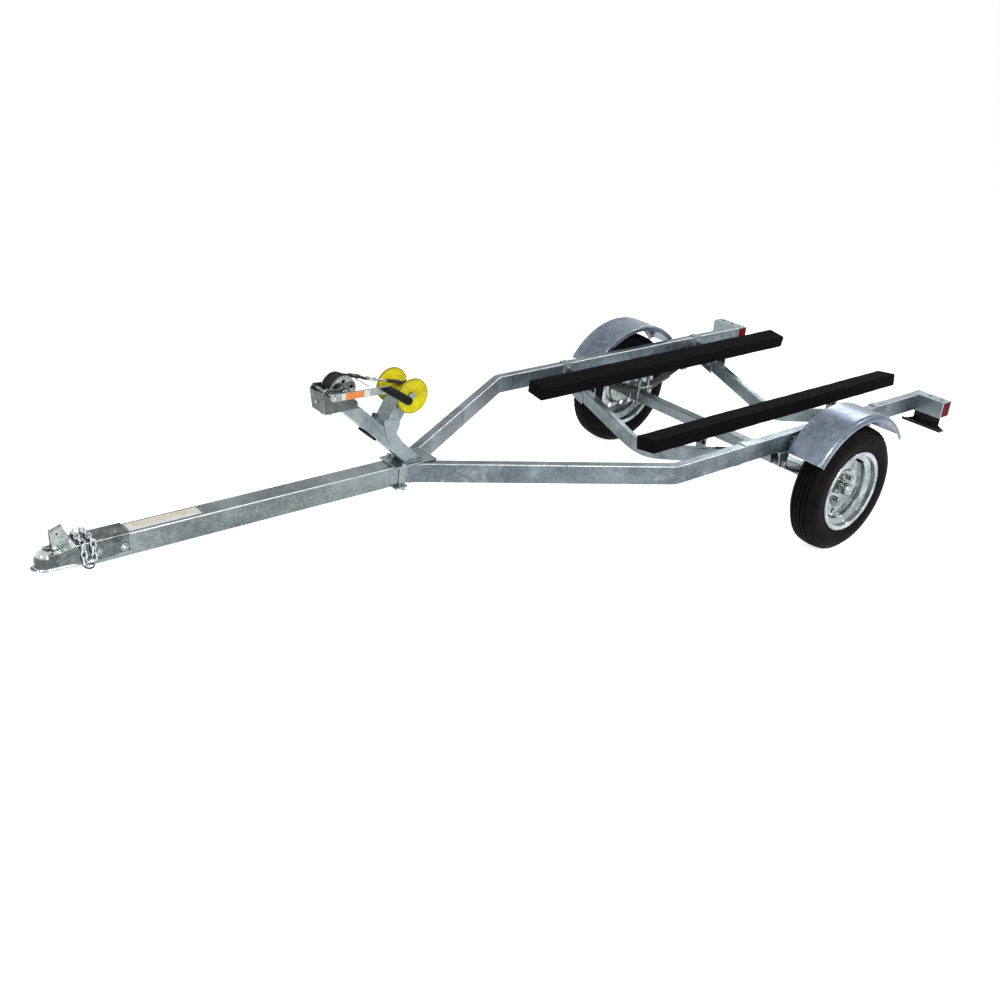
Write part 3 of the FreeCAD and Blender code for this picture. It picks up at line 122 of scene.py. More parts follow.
def turned(name, profile, steps, centre, sharp_deg, finish, body, replaces=(),
           shape=None):
    """A piece from a closed profile of (radius, offset along Y) turned about Y at centre."""
    bm = bmesh.new()
    rings = []
    for i in range(steps):
        a = FULL_TURN * i / steps
        rows = [shape(r, y, a) if shape else (r, y) for r, y in profile]
        rings.append([bm.verts.new((centre[0] + r * math.cos(a), centre[1] + y,
                                    centre[2] + r * math.sin(a))) for r, y in rows])
    skin(bm, rings, looped=True)
    piece(name, mesh_from(bm, name, sharp_deg), finish, body, replaces)


def plate(name, corners, lift, thick, finish, body="frame", bevel=0.0):
    """A plate on four level corners, raised by thick along lift; a bevel softens its edges."""
    bm = bmesh.new()
    raised = [Vector(corner) + Vector(lift) * thick for corner in corners]
    skin(bm, [[bm.verts.new(corner) for corner in row] for row in (corners, raised)])
    if bevel:
        bmesh.ops.bevel(bm, geom=bm.edges[:], offset=bevel, segments=2, profile=0.5,
                        affect="EDGES")
    piece(name, mesh_from(bm, name, 30), finish, body, smooth=bool(bevel))


# ---- node helpers ----
def plug(tree, value, socket):
    """Link a socket to another node's output, or set it to a number or colour of its own."""
    if isinstance(value, bpy.types.NodeSocket):
        tree.links.new(value, socket)
    else:
        socket.default_value = (*value, 1) if socket.type == "RGBA" else value


def fill(tree, node, **values):
    """Plug values into a node's inputs by name, with spaces written as underscores."""
    for label, value in values.items():
        plug(tree, value, node.inputs[label.replace("_", " ")])
    return node


def add(tree, kind, **values):
    return fill(tree, tree.nodes.new(kind), **values)


def maths(tree, operation, *values, kind="ShaderNodeMath", out="Value"):
    node = tree.nodes.new(kind)
    node.operation = operation
    for value, socket in zip(values, node.inputs):
        plug(tree, value, socket)
    return node.outputs[out]


def vector_maths(tree, operation, *values, out="Vector"):
    return maths(tree, operation, *values, kind="ShaderNodeVectorMath", out=out)


def plus(tree, a, b):
    return maths(tree, "ADD", a, b)


def minus(tree, a, b):
    return maths(tree, "SUBTRACT", a, b)


def times(tree, a, b):
    return maths(tree, "MULTIPLY", a, b)


def larger(tree, a, b):
    return maths(tree, "MAXIMUM", a, b)


# ---- repeated pieces ----
def attribute(tree, name, kind):
    node = tree.nodes.new("GeometryNodeInputNamedAttribute")
    node.data_type = kind
    return fill(tree, node, Name=name).outputs["Attribute"]


def placing_tree(name, sizes, shape):
    """Instances one small shape on every point, turned along `facing` and about it by `roll`."""
    tree = bpy.data.node_groups.new(name, "GeometryNodeTree")
    sockets = [("Places", "INPUT", "Geometry"), *((size, "INPUT", "Float") for size in sizes),
               ("Finish", "INPUT", "Material"), ("Pieces", "OUTPUT", "Geometry")]
    for label, way, kind in sockets:
        tree.interface.new_socket(label, in_out=way, socket_type="NodeSocket" + kind)
    gin, gout = tree.nodes.new("NodeGroupInput"), tree.nodes.new("NodeGroupOutput")
    align = add(tree, "FunctionNodeAlignRotationToVector",
                Vector=attribute(tree, "facing", "FLOAT_VECTOR"))
    align.axis = "Z"
    spin = add(tree, "FunctionNodeAxisAngleToRotation", Axis=UP,
               Angle=attribute(tree, "roll", "FLOAT"))
    turn = add(tree, "FunctionNodeRotateRotation", Rotation=align.outputs["Rotation"],
               Rotate_By=spin.outputs["Rotation"])
    turn.rotation_space = "LOCAL"
    scatter = add(tree, "GeometryNodeInstanceOnPoints", Points=gin.outputs["Places"],
                  Instance=shape(tree, *(gin.outputs[size] for size in sizes)),
                  Rotation=turn.outputs["Rotation"])
    solid = add(tree, "GeometryNodeRealizeInstances", Geometry=scatter.outputs["Instances"])
    finish = add(tree, "GeometryNodeSetMaterial", Geometry=solid.outputs["Geometry"],
                 Material=gin.outputs["Finish"])
    fill(tree, gout, Pieces=finish.outputs["Geometry"])
    return tree


def gn_join(tree, *parts):
    node = tree.nodes.new("GeometryNodeJoinGeometry")
    for part in parts:
        tree.links.new(part, node.inputs[0])
    return node.outputs[0]


def gn_moved(tree, part, lift=0.0, **change):
    """A shape lifted along its own Z, with a Scale or Rotation."""
    place = add(tree, "ShaderNodeCombineXYZ", Z=lift).outputs[0]
    return add(tree, "GeometryNodeTransform", Geometry=part, Translation=place,
               **change).outputs[0]


def gn_bar(tree, sides, radius, length, lift):
    bar = add(tree, "GeometryNodeMeshCylinder", Vertices=sides, Radius=radius, Depth=length)
    return gn_moved(tree, bar.outputs["Mesh"], lift)


def gn_cone(tree, sides, low, high, length, lift):
    cone = add(tree, "GeometryNodeMeshCone", Vertices=sides, Radius_Bottom=low, Radius_Top=high,
               Depth=length)
    return gn_moved(tree, cone.outputs["Mesh"], lift)


def gn_ball(tree, segments, rings, radius, lift, stretch):
    ball = add(tree, "GeometryNodeMeshUVSphere", Segments=segments, Rings=rings, Radius=radius)
    return gn_moved(tree, ball.outputs["Mesh"], lift, Scale=(1.0, 1.0, stretch))


def hexagon(tree, head, tall, base, narrowed, chamfer):
    """A hexagon standing on its base height, and the cone that chamfers its top."""
    return (gn_bar(tree, 6, head, tall, plus(tree, times(tree, tall, 0.5), base)),
            gn_cone(tree, 6, head, times(tree, head, narrowed), times(tree, tall, chamfer),
                    plus(tree, tall, base)))


def hex_bolt_shape(tree, head, tall, washer, stud):
    """Washer, chamfered hexagon and the end of the thread."""
    reach = times(tree, tall, 0.55)
    stud_middle = plus(tree, plus(tree, tall, 1.6), times(tree, reach, 0.5))
    return gn_join(tree, gn_bar(tree, 24, washer, 1.8, 0.9),
                   *hexagon(tree, head, tall, 1.6, 0.82, 0.16),
                   gn_bar(tree, 14, stud, reach, stud_middle))


def wheel_nut_shape(tree, head, tall):
    """Tall chamfered nut with a domed end, seated on its cone."""
    return gn_join(tree, gn_cone(tree, 20, times(tree, head, 0.82), head, 2.5, 0.0),
                   *hexagon(tree, head, tall, 1.5, 0.78, 0.14),
                   gn_ball(tree, 20, 10, times(tree, head, 0.72), plus(tree, tall, 1.0), 0.55))


def weld_ripple_shape(tree, radius):
    return gn_ball(tree, 8, 6, radius, 0.0, 0.75)


def stitch_shape(tree, radius):
    return gn_ball(tree, 8, 6, radius, 0.0, 3.2)


def link_shape(tree, long, wide, wire):
    """One oval chain link of round wire, long way up Z."""
    across = minus(tree, wide, times(tree, wire, 2.0))
    outline = add(tree, "GeometryNodeCurvePrimitiveQuadrilateral", Width=across,
                  Height=minus(tree, long, times(tree, wire, 2.0)))
    rounded = tree.nodes.new("GeometryNodeFilletCurve")
    rounded.mode = "POLY"
    fill(tree, rounded, Curve=outline.outputs["Curve"], Count=6, Radius=times(tree, across, 0.49))
    ring = add(tree, "GeometryNodeCurvePrimitiveCircle", Resolution=8, Radius=wire)
    bar = add(tree, "GeometryNodeCurveToMesh", Curve=rounded.outputs["Curve"],
              Profile_Curve=ring.outputs["Curve"])
    return gn_moved(tree, bar.outputs["Mesh"], Rotation=(math.pi / 2, 0, 0))


def thread_turn_shape(tree, radius, turn_pitch):
    """One turn of a coarse thread, as a flat double cone."""
    root, half = times(tree, radius, 0.88), times(tree, turn_pitch, 0.5)
    return gn_join(tree, gn_cone(tree, 16, root, radius, half, times(tree, turn_pitch, -0.5)),
                   gn_cone(tree, 16, radius, root, half, 0.0))


HEX_BOLTS = placing_tree("hex_bolts", ("Head Radius", "Head Height", "Washer Radius",
                                       "Stud Radius"), hex_bolt_shape)
WHEEL_NUTS = placing_tree("wheel_nuts", ("Head Radius", "Head Height"), wheel_nut_shape)
WELD_RIPPLES = placing_tree("weld_ripples", ("Bead Radius",), weld_ripple_shape)
STITCHES = placing_tree("strap_stitches", ("Thread Radius",), stitch_shape)
CHAIN_LINKS = placing_tree("chain_links", ("Link Length", "Link Width", "Wire Radius"),
                           link_shape)
THREAD_TURNS = placing_tree("thread_turns", ("Thread Radius", "Thread Pitch"),
                            thread_turn_shape)


def grow(name, tree, places, finish, body="frame", replaces=(), slot=None, smooth=False, **sizes):
    """Run a placing tree over (point, facing, roll) rows, all in level millimetres."""
    mesh = bpy.data.meshes.new(name + "_places")
    mesh.from_pydata([point for point, _, _ in places], [], [])
    facing = mesh.attributes.new("facing", "FLOAT_VECTOR", "POINT")
    facing.data.foreach_set("vector", [part for _, way, _ in places for part in way])
    roll = mesh.attributes.new("roll", "FLOAT", "POINT")
    roll.data.foreach_set("value", [turn for _, _, turn in places])
    carrier = bpy.data.objects.new(name + "_places", mesh)
    bpy.context.collection.objects.link(carrier)
    modifier = carrier.modifiers.new("placing", "NODES")
    modifier.node_group = tree
    wanted = {label.replace("_", " "): size for label, size in sizes.items()}
    wanted["Finish"] = finish
    for item in tree.interface.items_tree:
        if item.in_out == "INPUT" and item.name in wanted:
            modifier[item.identifier] = wanted[item.name]
    evaluated = carrier.evaluated_get(bpy.context.evaluated_depsgraph_get())
    made = bpy.data.meshes.new_from_object(evaluated)
    carrier.modifiers.remove(modifier)
    bpy.data.objects.remove(carrier)
    made.name = name
    piece(name, parked(made), finish, body, replaces, smooth)


def along(start, end, step):
    """Evenly spaced rows from start to end, facing along the run."""
    a, b = Vector(start), Vector(end)
    run = b - a
    count = max(1, int(run.length / step))
    return [(tuple(a + run * (i / count)), tuple(run.normalized()), 0.0)
            for i in range(count + 1)]


# ---- shader groups ----
def noise(tree, vector, scale, detail=4.0, roughness=0.55, distortion=0.0):
    return add(tree, "ShaderNodeTexNoise", Vector=vector, Scale=scale, Detail=detail,
               Roughness=roughness, Distortion=distortion).outputs["Fac"]


def ramp(tree, value, low, high, out_low=0.0, out_high=1.0):
    node = add(tree, "ShaderNodeMapRange", Value=value, From_Min=low, From_Max=high,
               To_Min=out_low, To_Max=out_high)
    node.interpolation_type = "SMOOTHSTEP"
    return node.outputs["Result"]


def blend_colour(tree, amount, a, b):
    node = tree.nodes.new("ShaderNodeMix")
    node.data_type = "RGBA"
    for value, socket in ((amount, node.inputs["Factor"]), (a, node.inputs[6]),
                          (b, node.inputs[7])):
        plug(tree, value, socket)
    return node.outputs[2]


def group(name, inputs, outputs):
    """An empty shader group of a vector and numbers in, and numbers or a Normal out."""
    tree = bpy.data.node_groups.new(name, "ShaderNodeTree")
    for way, labels in (("INPUT", ("Vector", *inputs)), ("OUTPUT", outputs)):
        for label in labels:
            kind = "Vector" if label in ("Vector", "Normal") else "Float"
            tree.interface.new_socket(label, in_out=way, socket_type="NodeSocket" + kind)
    gin, gout = tree.nodes.new("NodeGroupInput"), tree.nodes.new("NodeGroupOutput")
    return tree, gout, *gin.outputs[:1 + len(inputs)]


def zinc_coat_group():
    """Zinc coat: small crystals over slow clouds, with pale runs."""
    tree, gout, vector, crystal_scale, cloud_scale, oxide = group(
        "zinc_coat", ("Crystal Scale", "Cloud Scale", "Oxide"), ("Tone", "Oxide Mask", "Height"))
    crystals = add(tree, "ShaderNodeTexVoronoi", Vector=vector, Scale=crystal_scale)
    facets = add(tree, "ShaderNodeSeparateColor", Color=crystals.outputs["Color"]).outputs["Red"]
    cloud = noise(tree, vector, cloud_scale, 5.0, 0.6, 0.4)
    fine = noise(tree, vector, 420.0, 3.0, 0.6)
    tone = plus(tree, times(tree, facets, 0.16), times(tree, cloud, 0.84))
    tone = plus(tree, tone, times(tree, minus(tree, fine, 0.5), 0.18))
    runs = noise(tree, vector, times(tree, cloud_scale, 2.6), 6.0, 0.7, 0.8)
    fill(tree, gout, Tone=tone, Oxide_Mask=times(tree, ramp(tree, runs, 0.54, 0.74), oxide),
         Height=plus(tree, times(tree, cloud, 0.75), times(tree, fine, 0.25)))
    return tree


def grime_group():
    """Dust and dirt in soft patches."""
    tree, gout, vector, scale, amount = group("grime", ("Scale", "Amount"), ("Mask",))
    patches = noise(tree, vector, scale, 6.0, 0.65, 0.3)
    specks = noise(tree, vector, times(tree, scale, 18.0), 2.0, 0.6)
    mask = times(tree, ramp(tree, patches, 0.42, 0.7), ramp(tree, specks, 0.3, 0.7, 0.5, 1.0))
    fill(tree, gout, Mask=times(tree, mask, amount))
    return tree


def weave_group():
    """Plain woven webbing on object coordinates: ribs across, threads along."""
    tree, gout, vector, scale = group("webbing_weave", ("Scale",), ("Height", "Shade"))
    bands = []
    for direction in ("X", "Y"):
        wave = add(tree, "ShaderNodeTexWave", Vector=vector, Scale=scale, Distortion=0.4)
        wave.bands_direction = direction
        bands.append(wave.outputs["Fac"])
    fill(tree, gout, Height=larger(tree, bands[0], times(tree, bands[1], 0.8)),
         Shade=ramp(tree, noise(tree, vector, 30.0), 0.3, 0.7))
    return tree


def corner_painted_highlight_group():
    """The rounded normal near corners, and a mask of painted highlight along edges and on the upright slopes of
    rounded corners.
    """
    tree, gout, vector, corner_radius, bend_highlight = group(
        "corner_wear", ("Corner Radius", "Bend Wear"), ("Mask", "Normal"))
    bevel = add(tree, "ShaderNodeBevel", Radius=corner_radius)
    bevel.samples = 4
    rounded = bevel.outputs["Normal"]
    surface = tree.nodes.new("ShaderNodeNewGeometry").outputs["Normal"]
    turned_away = minus(tree, 1.0, vector_maths(tree, "DOT_PRODUCT", rounded, surface,
                                               out="Value"))
    upright = add(tree, "ShaderNodeSeparateXYZ", Vector=surface).outputs["Z"]
    bend = times(tree, ramp(tree, upright, 0.25, 0.5), ramp(tree, upright, 0.9, 0.97, 1.0, 0.0))
    bend = times(tree, bend, bend_highlight)
    # painted highlight: the edge and bend mask is broken up into patches
    worn = ramp(tree, noise(tree, vector, 22.0, 4.0, 0.6), 0.25, 0.6, 0.45, 1.0)
    mask = larger(tree, ramp(tree, turned_away, 0.01, 0.16), bend)
    fill(tree, gout, Mask=times(tree, mask, worn), Normal=rounded)
    return tree


ZINC_COAT = zinc_coat_group()
CORNER_PAINTED_HIGHLIGHT = corner_painted_highlight_group()
GRIME = grime_group()
WEAVE = weave_group()


def use(tree, shared, vector, **values):
    node = tree.nodes.new("ShaderNodeGroup")
    node.node_tree = shared
    return fill(tree, node, Vector=vector, **values).outputs


def bump(tree, height, strength, distance, **rounded):
    return add(tree, "ShaderNodeBump", Height=height, Strength=strength, Distance=distance,
               **rounded).outputs["Normal"]


# ---- finishes ----
def material(name):
    """A material, its tree, its shader and its piece's own coordinates."""
    made = bpy.data.materials.new(name)
    made.use_nodes = True
    tree = made.node_tree
    vector = tree.nodes.new("ShaderNodeTexCoord").outputs["Object"]
    return made, tree, tree.nodes["Principled BSDF"], vector


def zinc_metal(name, dark, light, oxide_colour, crystal, cloud, oxide, metallic, rough, relief,
               corner=0.0035, worn=(0.50, 0.55, 0.57), bend=0.0):
    """Zinc from dark to light, with pale oxide runs and a painted highlight on corners and bends."""
    made, tree, shader, vector = material(name)
    coat = use(tree, ZINC_COAT, vector, Crystal_Scale=crystal, Cloud_Scale=cloud, Oxide=oxide)
    edges = use(tree, CORNER_PAINTED_HIGHLIGHT, vector, Corner_Radius=corner, Bend_Wear=bend)
    colour = blend_colour(tree, ramp(tree, coat["Tone"], 0.25, 0.75), dark, light)
    colour = blend_colour(tree, coat["Oxide Mask"], colour, oxide_colour)
    shine = ramp(tree, coat["Tone"], 0.2, 0.8, rough[1], rough[0])
    # the mask lays the highlight colour on edges and bends: a painted highlight
    fill(tree, shader, Base_Color=blend_colour(tree, edges["Mask"], colour, worn),
         Roughness=plus(tree, shine, times(tree, coat["Oxide Mask"], 0.25)), Metallic=metallic,
         Normal=bump(tree, coat["Height"], 0.35, relief, Normal=edges["Normal"]))
    return made


# Where a zinc below gives a last colour, that colour is its painted highlight on edges and bends.
galvanised = zinc_metal(
    "galvanised_steel", (0.085, 0.112, 0.120), (0.27, 0.32, 0.335), (0.40, 0.45, 0.46),
    190.0, 5.0, 0.45, 0.85, (0.26, 0.42), 0.0012)
rail_zinc = zinc_metal(
    "galvanised_rail", (0.062, 0.079, 0.092), (0.195, 0.232, 0.258), (0.42, 0.47, 0.50),
    190.0, 5.0, 0.5, 0.85, (0.24, 0.40), 0.0011, worn=(0.66, 0.71, 0.73), bend=0.7)
tongue_zinc = zinc_metal(
    "galvanised_tongue", (0.085, 0.105, 0.108), (0.25, 0.29, 0.295), (0.40, 0.45, 0.46),
    190.0, 5.0, 0.45, 0.88, (0.22, 0.38), 0.0012, worn=(0.85, 0.90, 0.93), bend=1.0)
coupler_zinc = zinc_metal(
    "bright_zinc_coupler", (0.042, 0.050, 0.050), (0.155, 0.178, 0.176), (0.30, 0.33, 0.33),
    90.0, 22.0, 0.3, 0.97, (0.07, 0.18), 0.0012, worn=(0.80, 0.84, 0.84), bend=0.9)
fender_zinc = zinc_metal(
    "galvanised_sheet", (0.10, 0.127, 0.168), (0.24, 0.283, 0.345), (0.42, 0.48, 0.55),
    60.0, 5.0, 0.4, 0.88, (0.20, 0.34), 0.0010)
bright_zinc = zinc_metal(
    "bright_zinc_plate", (0.115, 0.135, 0.13), (0.37, 0.41, 0.395), (0.50, 0.53, 0.51),
    220.0, 20.0, 0.3, 0.97, (0.08, 0.20), 0.0009)
chain_zinc = zinc_metal(
    "bright_chain_zinc", (0.34, 0.37, 0.38), (0.74, 0.78, 0.80), (0.66, 0.70, 0.72),
    260.0, 60.0, 0.2, 0.97, (0.10, 0.22), 0.0003, corner=0.0008)
rim_zinc = zinc_metal(
    "galvanised_wheel", (0.13, 0.15, 0.155), (0.52, 0.57, 0.585), (0.56, 0.60, 0.61),
    220.0, 10.0, 0.30, 0.94, (0.13, 0.27), 0.0007)
cast_zinc = zinc_metal(
    "galvanised_winch", (0.042, 0.051, 0.047), (0.12, 0.135, 0.125), (0.25, 0.27, 0.25),
    260.0, 12.0, 0.35, 0.84, (0.24, 0.40), 0.0006)


def dull(name, dark, light, scale, rough, relief, fine=400.0, specular=0.5):
    """Paint, plastic or plain steel: soft patches, fine grain and a little dirt."""
    made, tree, shader, vector = material(name)
    patches = noise(tree, vector, scale, 5.0, 0.6)
    dirt = use(tree, GRIME, vector, Scale=scale * 1.5, Amount=0.15)["Mask"]
    fill(tree, shader, Base_Color=blend_colour(tree, ramp(tree, patches, 0.3, 0.7), dark, light),
         Roughness=plus(tree, ramp(tree, patches, 0.3, 0.7, rough[0], rough[1]), dirt),
         Specular_IOR_Level=specular,
         Normal=bump(tree, noise(tree, vector, fine, 2.0, 0.6), 0.4, relief))
    return made


def blank_label(colour_name, dark, light):
    return dull("blank_label_" + colour_name, dark, light, 25.0, (0.32, 0.48), 0.0001)


spring_steel = dull("dark_spring_steel", (0.035, 0.037, 0.04), (0.09, 0.09, 0.092),
                    20.0, (0.42, 0.62), 0.0005)
black_plastic = dull("black_moulded_grip", (0.004, 0.004, 0.0045), (0.011, 0.011, 0.012),
                     18.0, (0.42, 0.58), 0.0004, fine=900.0, specular=0.12)
black_paint = dull("black_painted_bracket", (0.006, 0.006, 0.0065), (0.018, 0.018, 0.019),
                   14.0, (0.35, 0.55), 0.0004, specular=0.2)
label_white = blank_label("white", (0.56, 0.56, 0.55), (0.66, 0.66, 0.64))
label_cream = blank_label("cream", (0.54, 0.50, 0.37), (0.62, 0.58, 0.45))
label_orange = blank_label("orange", (0.62, 0.17, 0.03), (0.74, 0.24, 0.06))


def tyre_rubber():
    made, tree, shader, vector = material("tyre_rubber_side")
    patches = noise(tree, vector, 8.0, 5.0, 0.6)
    colour = blend_colour(tree, ramp(tree, patches, 0.3, 0.7), (0.0022, 0.0021, 0.0021),
                          (0.0055, 0.0052, 0.005))
    dirt = use(tree, GRIME, vector, Scale=14.0, Amount=0.35)["Mask"]
    fill(tree, shader, Base_Color=blend_colour(tree, dirt, colour, (0.018, 0.0145, 0.012)),
         Roughness=ramp(tree, patches, 0.3, 0.7, 0.52, 0.70), Specular_IOR_Level=0.04,
         Normal=bump(tree, noise(tree, vector, 500.0, 2.0, 0.6), 0.5, 0.0006))
    return made


def bunk_carpet():
    made, tree, shader, vector = material("bunk_carpet_pile")
    pile = noise(tree, vector, 900.0, 3.0, 0.75)
    tufts = add(tree, "ShaderNodeTexVoronoi", Vector=vector, Scale=420.0).outputs["Distance"]
    wear = ramp(tree, noise(tree, vector, 11.0, 5.0, 0.6), 0.5, 0.8, 0.0, 0.35)
    colour = blend_colour(tree, ramp(tree, pile, 0.3, 0.7), (0.0012, 0.0012, 0.0015),
                          (0.0065, 0.0062, 0.0062))
    height = plus(tree, times(tree, pile, 0.6), times(tree, tufts, 0.6))
    fill(tree, shader, Base_Color=blend_colour(tree, wear, colour, (0.012, 0.011, 0.010)),
         Roughness=0.95, Specular_IOR_Level=0.06, Normal=bump(tree, height, 0.8, 0.003))
    return made


def webbing():
    made, tree, shader, vector = material("black_webbing")
    weave = use(tree, WEAVE, vector, Scale=260.0)
    fill(tree, shader, Base_Color=blend_colour(tree, weave["Shade"], (0.004, 0.004, 0.0045),
                                               (0.012, 0.012, 0.013)),
         Roughness=ramp(tree, weave["Height"], 0.0, 1.0, 0.85, 0.65), Specular_IOR_Level=0.2,
         Normal=bump(tree, weave["Height"], 0.6, 0.0006))
    return made


def bow_polymer():
    """Yellow polymer with slow swirls, darker towards the bells' rims."""
    made, tree, shader, vector = material("yellow_bow_polymer")
    swirl = noise(tree, vector, 16.0, 4.0, 0.6, 0.8)
    colour = blend_colour(tree, ramp(tree, swirl, 0.3, 0.7), (0.46, 0.40, 0.003),
                          (0.72, 0.65, 0.012))
    reach = vector_maths(tree, "SUBTRACT", vector, PARKED @ Vector((BOW_X, 0, BOW_Z)))
    flat = vector_maths(tree, "MULTIPLY", reach, (1, 0, 1))
    radius = vector_maths(tree, "LENGTH", flat, out="Value")
    rim = ramp(tree, radius, 0.057, 0.0635, 0.0, 0.85)
    fill(tree, shader, Base_Color=blend_colour(tree, rim, colour, (0.21, 0.19, 0.004)),
         Roughness=ramp(tree, swirl, 0.3, 0.7, 0.22, 0.34), Specular_IOR_Level=0.15,
         Subsurface_Weight=0.25, Subsurface_Scale=0.01,
         Normal=bump(tree, noise(tree, vector, 60.0), 0.25, 0.0006))
    return made


def lamp_lens():
    made, tree, shader, vector = material("red_lamp_lens")
    prisms = add(tree, "ShaderNodeTexVoronoi", Vector=vector, Scale=160.0,
                 Randomness=0.05).outputs["Distance"]
    fill(tree, shader, Base_Color=blend_colour(tree, ramp(tree, prisms, 0.1, 0.6),
                                               (0.25, 0.0008, 0.003), (0.12, 0.0004, 0.0015)),
         Roughness=ramp(tree, noise(tree, vector, 12.0), 0.3, 0.7, 0.40, 0.52),
         Specular_IOR_Level=0.04, Normal=bump(tree, prisms, 0.5, 0.0012))
    return made


tyre_side = tyre_rubber()
carpet = bunk_carpet()
strap_webbing = webbing()
bow_yellow = bow_polymer()
red_lens = lamp_lens()

# by plain name; every other node is galvanised steel
FINISHES = {
    "coupler": coupler_zinc, "rail": rail_zinc, "tongue": tongue_zinc, "fender": fender_zinc,
    "safety_chain": chain_zinc, "coupler_latch": bright_zinc, "axle_clamp": bright_zinc,
    "rim": rim_zinc, "hub": bright_zinc, "lug_nuts": bright_zinc, "tyre": tyre_side,
    "bunk": carpet, "leaf_spring": spring_steel, "bow_bell": bow_yellow, "bow_roller": bow_yellow,
    "bow_bolt": bright_zinc, "winch_frame": cast_zinc, "winch_drum": cast_zinc,
    "winch_gear": bright_zinc, "winch_crank": bright_zinc, "crank_grip": black_plastic,
    "wound_strap": strap_webbing, "winch_strap": strap_webbing, "hook_loop": strap_webbing,
    "strap_hook": bright_zinc, "post_pad": black_plastic, "tail_light": red_lens,
    "licence_bracket": black_paint,
}
for name, obj in nodes.items():
    plain = name.replace("left_", "").replace("right_", "")
    obj.data.materials.clear()
    obj.data.materials.append(FINISHES.get(plain, galvanised))


# ---- tyres ----
SHOULDER_Y, NOTCHES, NOTCH_DEPTH, GROOVE_DEPTH, CROWN_FALL = 32.5, 58, 2.4, 6.5, 0.0026


def tyre(side, sign):
    """Bias ply trailer tyre with three grooves and notched shoulder ribs."""
    seat, half = 55.0, TYRE_WIDTH / 2
    side_wall = [(RIM_BEAD_RADIUS + 1, seat - 12), (RIM_BEAD_RADIUS + 0.5, seat),
                 (RIM_FLANGE_RADIUS - 2, seat + 3.0), (RIM_FLANGE_RADIUS + 4, seat + 5.5),
                 (RIM_FLANGE_RADIUS + 8, seat + 4.5), (RIM_FLANGE_RADIUS + 12, seat + 7.0),
                 (203, half - 2.6), (216, half - 0.6), (229, half), (243, half - 2.8),
                 (252, half - 6.5), (253.5, half - 6.0), (256, half - 6.8), (257.5, half - 9.0),
                 (265, half - 14.5), (271.5, half - 20)]
    ribs = [(42, 0), (33, 0), (31.8, GROOVE_DEPTH), (28, GROOVE_DEPTH), (26.8, 0), (13, 0),
            (11.8, GROOVE_DEPTH), (8.2, GROOVE_DEPTH), (7, 0)]
    right = side_wall + [(TYRE_RADIUS - CROWN_FALL * y * y - cut, float(y)) for y, cut in ribs]
    left = [(r, -y) for r, y in reversed(right)]
    inner = [(RIM_BEAD_RADIUS + 8, 34.0), (216, 53.0), (250, 47.0), (264, 24.0)]
    inner = [(r, -y) for r, y in inner] + inner[::-1]

    def notched(r, y, a):
        if r > TYRE_RADIUS - 13 and abs(y) > SHOULDER_Y:
            return r - NOTCH_DEPTH * (math.sin(a * NOTCHES + (1.2 if y > 0 else 0)) > 0.6), y
        return r, y
    turned(side + "_tyre_treaded", right + left + inner, 290, (0, sign * WHEEL_Y, 0), 32.0,
           tyre_side, side + "_wheel", (side + "_tyre",), notched)


for side, sign in SIDES:
    tyre(side, sign)


# ---- bunks ----
def bunk(side, sign):
    """Timber wrapped in carpet: soft corners and a slightly uneven skin."""
    length, cuts = BUNK["front"] - BUNK["rear"], 60
    bm = bmesh.new()
    bmesh.ops.create_cube(bm, size=1.0)
    bmesh.ops.scale(bm, vec=(length, BUNK["width"], BUNK["thick"]), verts=bm.verts)
    bmesh.ops.bevel(bm, geom=bm.edges[:], offset=7.0, segments=3, profile=0.6, affect="EDGES")
    for i in range(1, cuts):
        bmesh.ops.bisect_plane(bm, geom=bm.verts[:] + bm.edges[:] + bm.faces[:],
                               plane_co=(-length / 2 + length * i / cuts, 0, 0), plane_no=AHEAD)
    for v in bm.verts:
        ripple = (math.sin(v.co.x * 0.021 + sign) * 0.5
                  + math.sin(v.co.x * 0.057 + v.co.y * 0.03) * 0.35)
        v.co += v.normal * ripple
    middle = Vector(((BUNK["front"] + BUNK["rear"]) / 2, sign * BUNK["y"], BUNK["z"]))
    tilt = Matrix.Rotation(math.radians(sign * BUNK["tilt"]), 4, "X")
    bmesh.ops.transform(bm, matrix=Matrix.Translation(middle) @ tilt, verts=bm.verts)
    name = side + "_bunk_carpeted"
    piece(name, mesh_from(bm, name, 60), carpet, "frame", (side + "_bunk",))


for side, sign in SIDES:
    bunk(side, sign)


